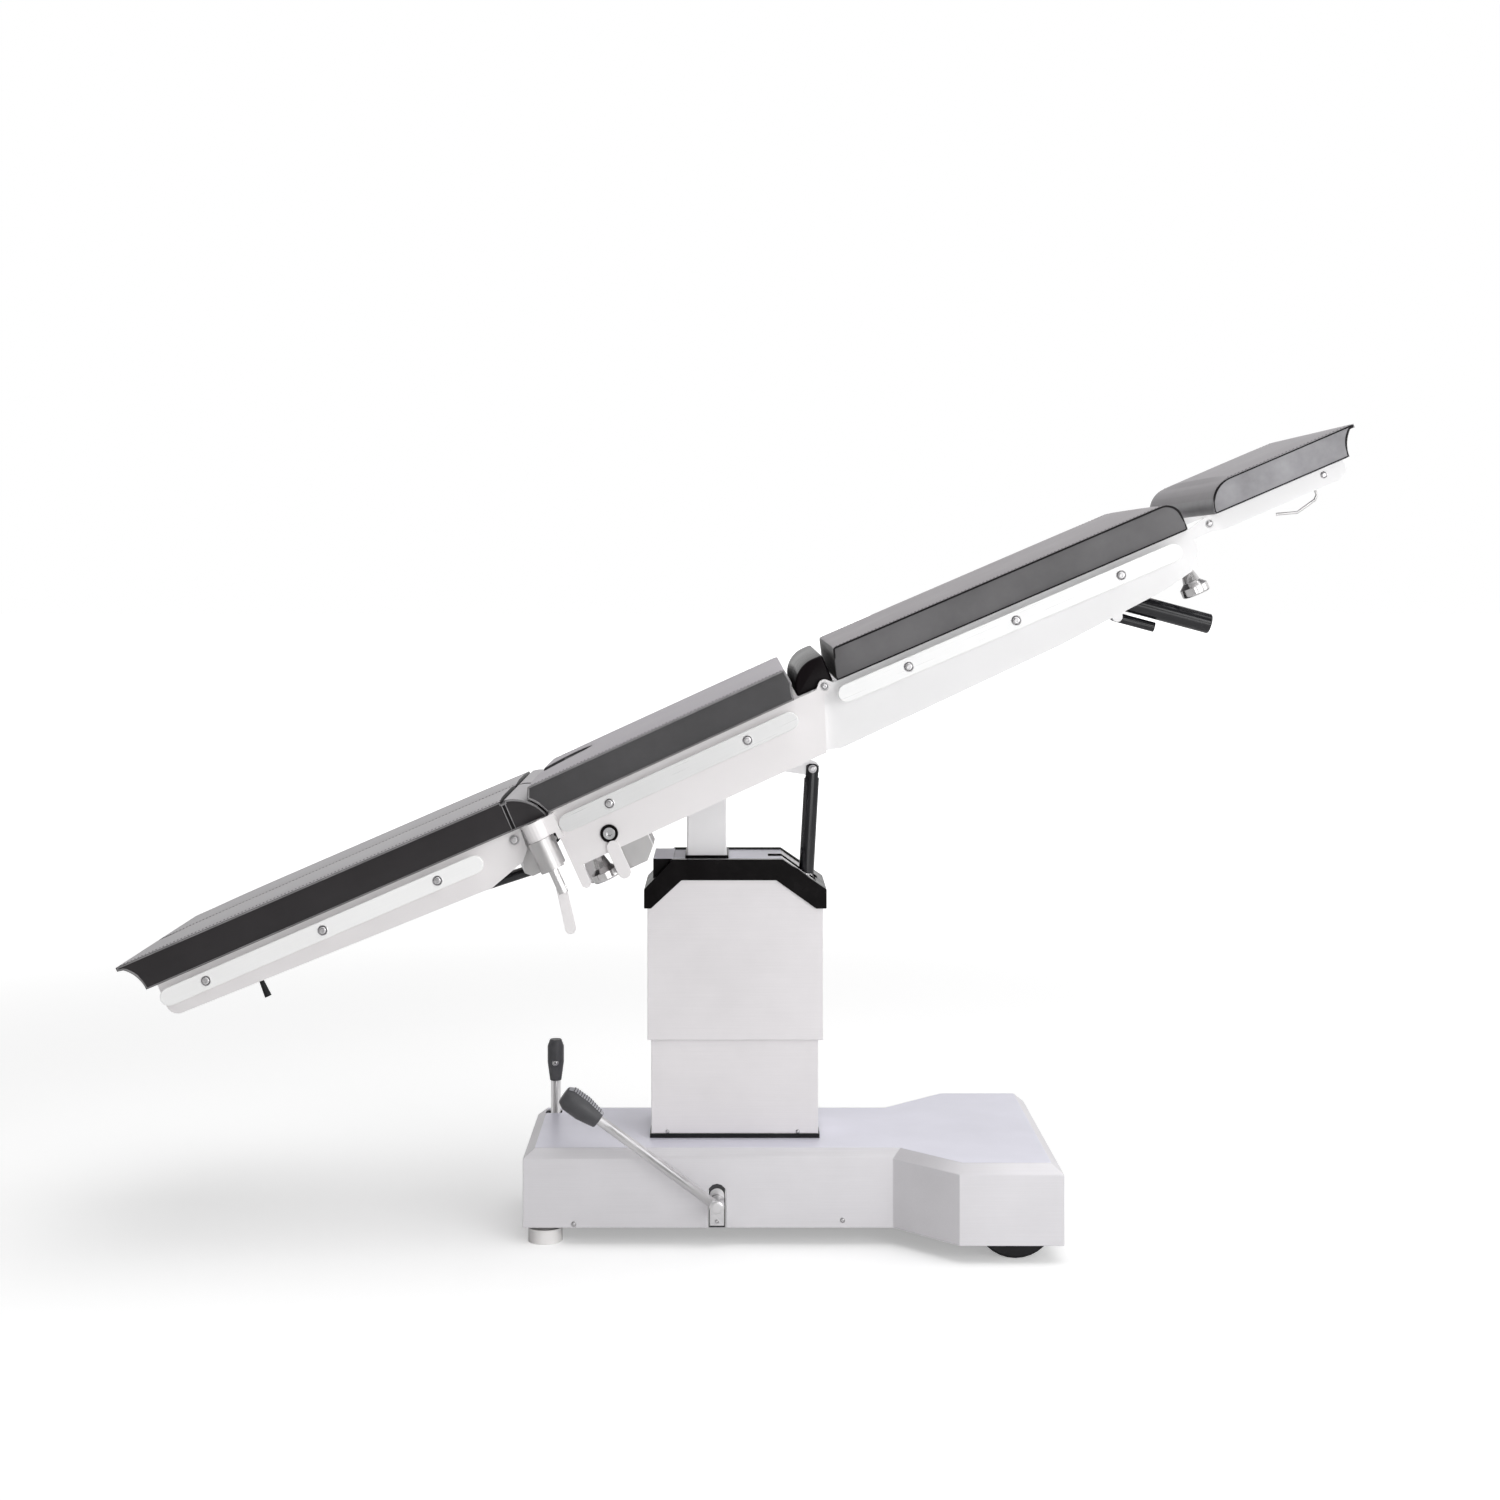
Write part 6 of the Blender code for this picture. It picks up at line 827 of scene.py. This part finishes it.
# the seat's top is painted sheen and its grey piping is painted highlight
seatLook = ("vinylSeat", "vinylSeatTop", "pipingGrey")
makePad("seat_cushion", seatOutline, (-half, half), levels, seatPlane, seatLook, seatBay)

backShape = {"lowU": 0.020, "topU": 0.034, "endU": 0.592, "round": 0.024}
backRound = (backShape["endU"] - backShape["round"], topW - backShape["round"])
backOutline = [
    (backShape["lowU"], padFit["floorGap"]),
    (backShape["endU"], padFit["floorGap"]),
    *arcPoints(backRound, backShape["round"], 0, 90, 8),
    (backShape["topU"], topW),
]
# the back's side finish is partly painted highlight, and its top is painted sheen
backLook = ("vinylBack", "vinylBackTop", "pipingBlack")
makePad("back_cushion", backOutline, (-half, half), levels, backPlane, backLook)

headShape = {
    "lowU": 0.639, "endU": 0.857, "tipU": 0.881, "round": 0.040,
    "floor": 0.005, "tipArc": 0.051, "lip": 0.006,
}
headRound = (headShape["lowU"] + headShape["round"], topW - headShape["round"])
headTip = (headShape["endU"] + headShape["tipArc"], headShape["floor"])
headOutline = [
    (headShape["lowU"], headShape["floor"]),
    *arcPoints(headTip, headShape["tipArc"], 180, 132, 8),
    (headShape["tipU"], topW - headShape["lip"]),
    (headShape["tipU"], topW),
    *arcPoints(headRound, headShape["round"], 90, 176, 10),
]
# the head's light side finish is painted reflection, and its top is painted sheen
headLook = ("vinylHead", "vinylHeadTop", "pipingBlack")
makePad("head_cushion", headOutline, (-half, half), (headShape["floor"], topW), backPlane, headLook)

legShape = {
    "floor": 0.0134, "grooveU": 0.003, "grooveWidth": 0.006, "grooveDepth": 0.004,
    "tipU": -0.623, "footU": -0.594, "gap": 0.0048,
}
legTop = legShape["floor"] + topW
grooveEnd = legShape["grooveU"] + legShape["grooveWidth"]
noseStart = math.degrees(math.asin(legShape["floor"] / padFit["kneeArc"]))
noseEnd = math.degrees(math.acos(grooveEnd / padFit["kneeArc"]))
legTip = (legShape["footU"] - headShape["tipArc"], legShape["floor"])
legOutline = [
    *arcPoints((0, 0), padFit["kneeArc"], noseStart, noseEnd, 14),
    (grooveEnd, legTop - legShape["grooveDepth"]),
    (legShape["grooveU"], legTop - legShape["grooveDepth"]),
    (legShape["grooveU"], legTop),
    (legShape["tipU"], legTop),
    (legShape["tipU"], legTop - headShape["lip"]),
    *arcPoints(legTip, headShape["tipArc"], 52, 0, 8),
]
# the legs' tops are painted sheen and their grey piping is painted highlight
legLook = ("vinylLeg", "vinylLegTop", "pipingGrey")
for side, span in (("near", (-half, -legShape["gap"])), ("far", (legShape["gap"], half))):
    makePad(
        "leg_cushion_" + side, legOutline, span, (legShape["floor"], legTop), legPlane, legLook,
        inner="pipingBlack", band=(legShape["grooveU"], grooveEnd),
    )


# the round bolster at the hip, without a crown
def makeBolster():
    shape = {"endU": 0.015, "half": 0.2295, "edge": 0.004}
    outline = [(shape["endU"], padFit["floorGap"]), (shape["endU"], padFit["hipArc"])]
    outline += arcPoints((0, 0), padFit["hipArc"], 90, padFit["hipEnd"])
    work = extruded(outline, -shape["half"], shape["half"])
    bolster = newObject("hipBolster", meshFrom(work, "hipBolster"))
    addBevel(bolster, shape["edge"], 3, padFit["bevelDegrees"])
    bakeModifiers(bolster)
    bolster.data.transform(backPlane)
    bolster.data.materials.clear()
    bolster.data.materials.append(finishes["vinylBlack"])
    smoothShade(bolster.data, padFit["smoothDegrees"])
    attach(bolster, "back")
    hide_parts("back_bolster")


makeBolster()
print("pads made")


# screws and bolts: a button head with a hexagon socket in a shallow washer
screwFit = {
    "rim": 0.0078, "rimRise": 0.0007, "groove": 0.0062, "head": 0.0055, "rise": 0.0025,
    "socket": 0.0023, "depth": 0.0017, "sink": 0.0003, "sides": 24,
}


def socketScrew():
    fit = screwFit
    profile = [
        (0, -fit["sink"]),
        (fit["rim"], -fit["sink"]),
        (fit["rim"], fit["rimRise"] * 0.4),
        (fit["rim"] - fit["rimRise"], fit["rimRise"]),
        (fit["groove"] + fit["rimRise"], fit["rimRise"]),
        (fit["groove"], 0),
        (fit["head"], 0),
        (fit["head"], fit["rise"] * 0.45),
        (fit["head"] * 0.86, fit["rise"] * 0.85),
        (fit["head"] * 0.62, fit["rise"]),
        (fit["socket"], fit["rise"]),
        (fit["socket"], fit["rise"] - fit["depth"]),
        (0, fit["rise"] - fit["depth"]),
    ]
    return newObject("socketScrew", turnedMesh("socketScrew", profile, fit["sides"], 10))


def nodeBox(node):
    thing = frame["nodes"][node]
    corners = [thing.matrix_world @ vertex.co for vertex in thing.data.vertices]
    low = Vector(min(corner[axis] for corner in corners) for axis in range(3))
    return low, Vector(max(corner[axis] for corner in corners) for axis in range(3))


# the eyelet in the brake grip, sunk a little into its round front
gripLow, gripHigh = nodeBox("brake_grip")
eyelet = {"size": 0.64, "sink": 0.0009, "downShare": 0.548}
eyelet["reach"] = -(gripLow.y + eyelet["sink"])
eyelet["place"] = (
    (gripLow.x + gripHigh.x) / 2,
    gripHigh.z - (gripHigh.z - gripLow.z) * eyelet["downShare"],
)

# per group: body, plane, reach from the middle, size, places along and up, sides
bothSides = (-1, 1)
backRailPlaces = [(0.126, -0.0215), (0.300, -0.0215), (0.470, -0.0215)]
screwGroups = {
    "seatRailScrews": ("seat", seatPlane, 0.2675, 1.0, [(-0.364, -0.024), (-0.138, -0.024)], bothSides),
    "backRailScrews": ("back", backPlane, 0.2675, 1.0, backRailPlaces, bothSides),
    "hipBolts": ("back", backPlane, 0.2440, 0.75, [(0, 0)], bothSides),
    "headBolts": ("head", backPlane, 0.2307, 0.7, [(0.815, -0.006)], bothSides),
    "neckBolts": ("head", backPlane, 0.2376, 0.7, [(0.627, -0.005)], bothSides),
    "lugBolts": ("saddle_body", worldPlane, 0.0120, 0.85, [(0.1234, 0.7254)], bothSides),
    "baseScrews": ("base", worldPlane, 0.1400, 0.55, [(-0.250, 0.034), (0.165, 0.040)], bothSides),
    "columnScrews": ("base", worldPlane, 0.0720, 0.42, [(-0.107, 0.160), (0.098, 0.160)], bothSides),
    "gripEyelet": ("brake_pedal", worldPlane, eyelet["reach"], eyelet["size"], [eyelet["place"]], (-1,)),
    "bracketScrew": ("base", worldPlane, 0.1384, 0.42, [(-0.029, 0.0375)], (-1,)),
}
for side, name in ((-1, "near"), (1, "far")):
    railPlaces = [(-0.501, -0.0085), (-0.312, -0.0085), (-0.126, -0.0085)]
    screwGroups["legRailScrews_" + name] = ("leg_" + name, legPlane, 0.2675, 1.0, railPlaces, (side,))
    screwGroups["kneeBolt_" + name] = ("hub_" + name, legPlane, 0.2455, 1.0, [(0, 0)], (side,))


def growScrews():
    screw = socketScrew()
    for name, (body, plane, reach, size, places, sides) in screwGroups.items():
        points = [((u, side * reach, w), (0, side, 0)) for u, w in places for side in sides]
        values = {"Fastener": screw, "Size": size}
        growPiece(name, pointMesh(name, points), "fasteners", values, "screwSteel", body, plane)
    bpy.data.objects.remove(screw, do_unlink=True)


growScrews()
print("screws set", len(screwGroups))


# a slab with an outline along and up, made thick across, with its edges rounded
def makeSlab(name, outline, yLow, yHigh, finish, body, edge):
    piece = linkPiece(name, meshFrom(extruded(outline, yLow, yHigh), name), finish, body)
    smoothShade(piece.data)
    addBevel(piece, edge, 2)
    bakeModifiers(piece)
    return piece


# a turned piece that faces the near side
def makeTurned(name, profile, segments, finish, body, place, degrees, plane=worldPlane):
    piece = linkPiece(name, turnedMesh(name, profile, segments), finish, body)
    facing = Matrix.Translation(place) @ Matrix.Rotation(math.radians(90), 4, "X")
    piece.data.transform(plane @ facing)
    smoothShade(piece.data, degrees)


# plate behind the pump pedal's hub, in the slot of the base cover
pumpPlate = {
    "x": -0.029, "half": 0.0112, "low": 0.0310, "roundAt": 0.0775,
    "back": -0.1371, "front": -0.1384, "edge": 0.0003,
}


def makePumpPlate():
    fit = pumpPlate
    outline = [(fit["x"] - fit["half"], fit["low"]), (fit["x"] + fit["half"], fit["low"])]
    outline += arcPoints((fit["x"], fit["roundAt"]), fit["half"], 0, 180)
    makeSlab("pumpPlate", outline, fit["front"], fit["back"], "plateSteel", "base", fit["edge"])


# plain cap on the pump pedal's hub
pumpCap = {"x": -0.029, "z": 0.0675, "face": -0.1704, "radius": 0.0102, "rise": 0.0011}


def makePumpCap():
    fit = pumpCap
    profile = [
        (0, 0),
        (fit["radius"], 0),
        (fit["radius"], fit["rise"] * 0.4),
        (fit["radius"] * 0.9, fit["rise"] * 0.85),
        (fit["radius"] * 0.5, fit["rise"]),
        (0, fit["rise"]),
    ]
    place = (fit["x"], fit["face"], fit["z"])
    makeTurned("pumpCap", profile, 32, "plateSteel", "pump_pedal", place, 40)


# black collar round the crank socket on the near side plate; its dark ring is partly painted shadow round
# the socket
dialRing = {"u": -0.385, "w": -0.066, "face": -0.2437, "inner": 0.0094, "outer": 0.0134, "rise": 0.0034}


def makeDialCollarAndShadow():
    fit = dialRing
    profile = [
        (fit["inner"], 0),
        (fit["outer"], 0),
        (fit["outer"], fit["rise"] * 0.6),
        (fit["outer"] - fit["rise"] * 0.4, fit["rise"]),
        (fit["inner"], fit["rise"]),
        (fit["inner"], 0),
    ]
    place = (fit["u"], fit["face"], fit["w"])
    makeTurned("dialRing", profile, 40, "glossBlack", "seat", place, 30, seatPlane)


# black pieces on top of the column: post flange, foot-side block and the tilt slot's lining
columnTop = {
    "flangeOut": (-0.0800, -0.0110, 0.0480), "flangeIn": (-0.0773, -0.0137, 0.0453),
    "flangeSpan": (0.5868, 0.5916), "flangeEdge": 0.0008,
    "block": [(-0.1300, 0.5511), (-0.1300, 0.5886), (-0.0980, 0.5886), (-0.0980, 0.5868), (-0.0986, 0.5868)],
    "blockHalf": 0.0652, "blockEdge": 0.001,
    "slot": [(0.0524, 0.535), (0.0524, 0.5860), (0.0738, 0.5860), (0.1305, 0.5455), (0.1305, 0.535)],
    "slotHalf": 0.0152, "slotWall": 0.0007, "slotEdge": 0.0001,
}


def makeFlange():
    fit = columnTop
    work = bmesh.new()
    rings = []
    for low, high, half in (fit["flangeOut"], fit["flangeIn"]):
        for height in fit["flangeSpan"]:
            corners = [(low, -half), (high, -half), (high, half), (low, half)]
            rings.append([work.verts.new((x, y, height)) for x, y in corners])
    outLow, outTop, inLow, inTop = rings
    for first, second in ((outLow, outTop), (outTop, inTop), (inTop, inLow), (inLow, outLow)):
        for step in range(4):
            after = (step + 1) % 4
            work.faces.new([first[step], first[after], second[after], second[step]])
    flange = linkPiece("postFlange", meshFrom(work, "postFlange"), "glossBlack", "column")
    smoothShade(flange.data)
    addBevel(flange, columnTop["flangeEdge"], 2)
    bakeModifiers(flange)


def makeColumnTop():
    fit = columnTop
    half, edge = fit["blockHalf"], fit["blockEdge"]
    piece = makeSlab("footBlock", fit["block"], -half, half, "glossBlack", "column", edge)
    # the block's up-facing faces get the lighter sheet: painted light from above
    secondFinish(piece, "sheetTop", facesUp)
    for name, side in (("slotWallNear", -1), ("slotWallFar", 1)):
        low, high = sorted((side * fit["slotHalf"], side * (fit["slotHalf"] - fit["slotWall"])))
        makeSlab(name, fit["slot"], low, high, "glossBlack", "column", fit["slotEdge"])
    makeFlange()


# short ribs across the upper side of the pump pedal's grip
def makeGripRibs():
    fit = gripShape
    low, high = nodeBox("pump_grip")
    hub = Vector((fit["hub"][0], (low.y + high.y) / 2, fit["hub"][1]))
    ribs = []
    for index in range(fit["count"]):
        share = fit["firstShare"] + (fit["lastShare"] - fit["firstShare"]) * index / (fit["count"] - 1)
        swell = min(1, share / fit["swellShare"], (1 - share) / (1 - fit["middleShare"]))
        radius = fit["radius"] * (fit["neckShare"] + (1 - fit["neckShare"]) * swell)
        middle = hub + barAlong * (fit["start"] + fit["length"] * (1 - share))
        arc = arcPoints((0, 0), radius, 90 - fit["halfAngle"], 90 + fit["halfAngle"], 8)
        ribs.append(([middle + Vector((0, 1, 0)) * across + barUp * rise for across, rise in arc], False))
    values = {"Radius": fit["rib"], "Spacing": fit["rib"] * 3}
    mesh = pathMesh("gripRibs", ribs)
    growPiece("gripRibs", mesh, "cord", values, "pedalGrey", "pump_pedal")


makePumpPlate()
makePumpCap()
makeGripRibs()
makeDialCollarAndShadow()
makeColumnTop()
print("small metalwork made")


# stage: pale floor, white surroundings and soft lamps
studio = {
    "fill": 0.60, "fillFoot": 0.05, "fillSpan": (-1.0, 0.3), "roomInFront": 0.25, "roomSpan": (-0.75, 0.15),
    "floor": 0.86, "glow": 0.36, "glowFar": 1.1, "fadeSpan": (1.6, 6.0),
}


def smoothRange(tree, value, low, high, span):
    return mapRange(tree, value, low, high, *span, interpolation_type="SMOOTHSTEP")


def larger(tree, first, second):
    return fromNode(tree, "ShaderNodeMath", 0, {0: first, 1: second}, operation="MAXIMUM")


# reflections see a white backdrop behind and above and a dimmer room in front;
# the soft fill is weaker from the foot end
def whiteWorld():
    world = bpy.data.worlds.new("studio")
    bpy.context.scene.world = world
    world.use_nodes = True
    tree = world.node_tree
    tree.nodes.clear()
    around = fromNode(tree, "ShaderNodeTexCoord", "Generated")
    parts = addNode(tree, "ShaderNodeSeparateXYZ", {0: around}).outputs
    room = smoothRange(tree, parts["Y"], studio["roomInFront"], 1.0, studio["roomSpan"])
    fill = smoothRange(tree, parts["X"], studio["fillFoot"], studio["fill"], studio["fillSpan"])
    paths = addNode(tree, "ShaderNodeLightPath").outputs
    seen = paths["Is Camera Ray"]
    direct = larger(tree, larger(tree, seen, paths["Is Glossy Ray"]), paths["Is Transmission Ray"])
    soft, white = (
        fromNode(tree, "ShaderNodeBackground", 0, {"Color": (1, 1, 1, 1), "Strength": strength})
        for strength in (fill, larger(tree, room, seen))
    )
    mix = fromNode(tree, "ShaderNodeMixShader", 0, {0: direct, 1: soft, 2: white})
    addNode(tree, "ShaderNodeOutputWorld", {"Surface": mix})


# the floor far from the object fades into the white backdrop
def paleFloor():
    mesh = bpy.data.meshes.new("studioFloor")
    mesh.from_pydata([(-30, -12, 0), (30, -12, 0), (30, 48, 0), (-30, 48, 0)], [], [(0, 1, 2, 3)])
    floor = newObject("studioFloor", mesh)
    material = bpy.data.materials.new("studioFloor")
    material.use_nodes = True
    tree = material.node_tree
    tree.nodes.clear()
    grey = (studio["floor"], studio["floor"], studio["floor"], 1)
    diffuse = fromNode(tree, "ShaderNodeBsdfDiffuse", 0, {"Color": grey})
    place = fromNode(tree, "ShaderNodeTexCoord", "Object")
    reach = fromNode(tree, "ShaderNodeVectorMath", "Value", {0: place}, operation="LENGTH")
    fade = smoothRange(tree, reach, studio["glow"], studio["glowFar"], studio["fadeSpan"])
    glow = fromNode(tree, "ShaderNodeEmission", 0, {"Strength": fade})
    both = fromNode(tree, "ShaderNodeAddShader", 0, {0: diffuse, 1: glow})
    seen = fromNode(tree, "ShaderNodeLightPath", "Is Camera Ray")
    mix = fromNode(tree, "ShaderNodeMixShader", 0, {0: seen, 1: diffuse, 2: both})
    addNode(tree, "ShaderNodeOutputMaterial", {"Surface": mix})
    mesh.materials.append(material)


def softLamp(name, place, target, size, power):
    data = bpy.data.lights.new(name, "AREA")
    data.shape = "RECTANGLE"
    data.size, data.size_y = size
    data.energy = power
    lamp = newObject(name, data)
    lamp.location = place
    lamp.rotation_euler = (Vector(target) - Vector(place)).to_track_quat("-Z", "Y").to_euler()


lamps = {
    "overhead": ((0.6, -0.4, 3.4), (0, 0, 0.7), (3.6, 2.8), 50),
    "front": ((2.7, -3.6, 1.7), (0.1, 0, 0.6), (2.4, 2.2), 55),
    "frontLow": ((1.0, -3.6, 0.5), (0, 0, 0.6), (2.0, 0.8), 11),
    "right": ((3.4, -0.8, 1.6), (0.2, 0, 0.6), (1.8, 2.0), 16),
}
whiteWorld()
paleFloor()
for lampName, (place, target, size, power) in lamps.items():
    softLamp(lampName, place, target, size, power)
print("stage set")
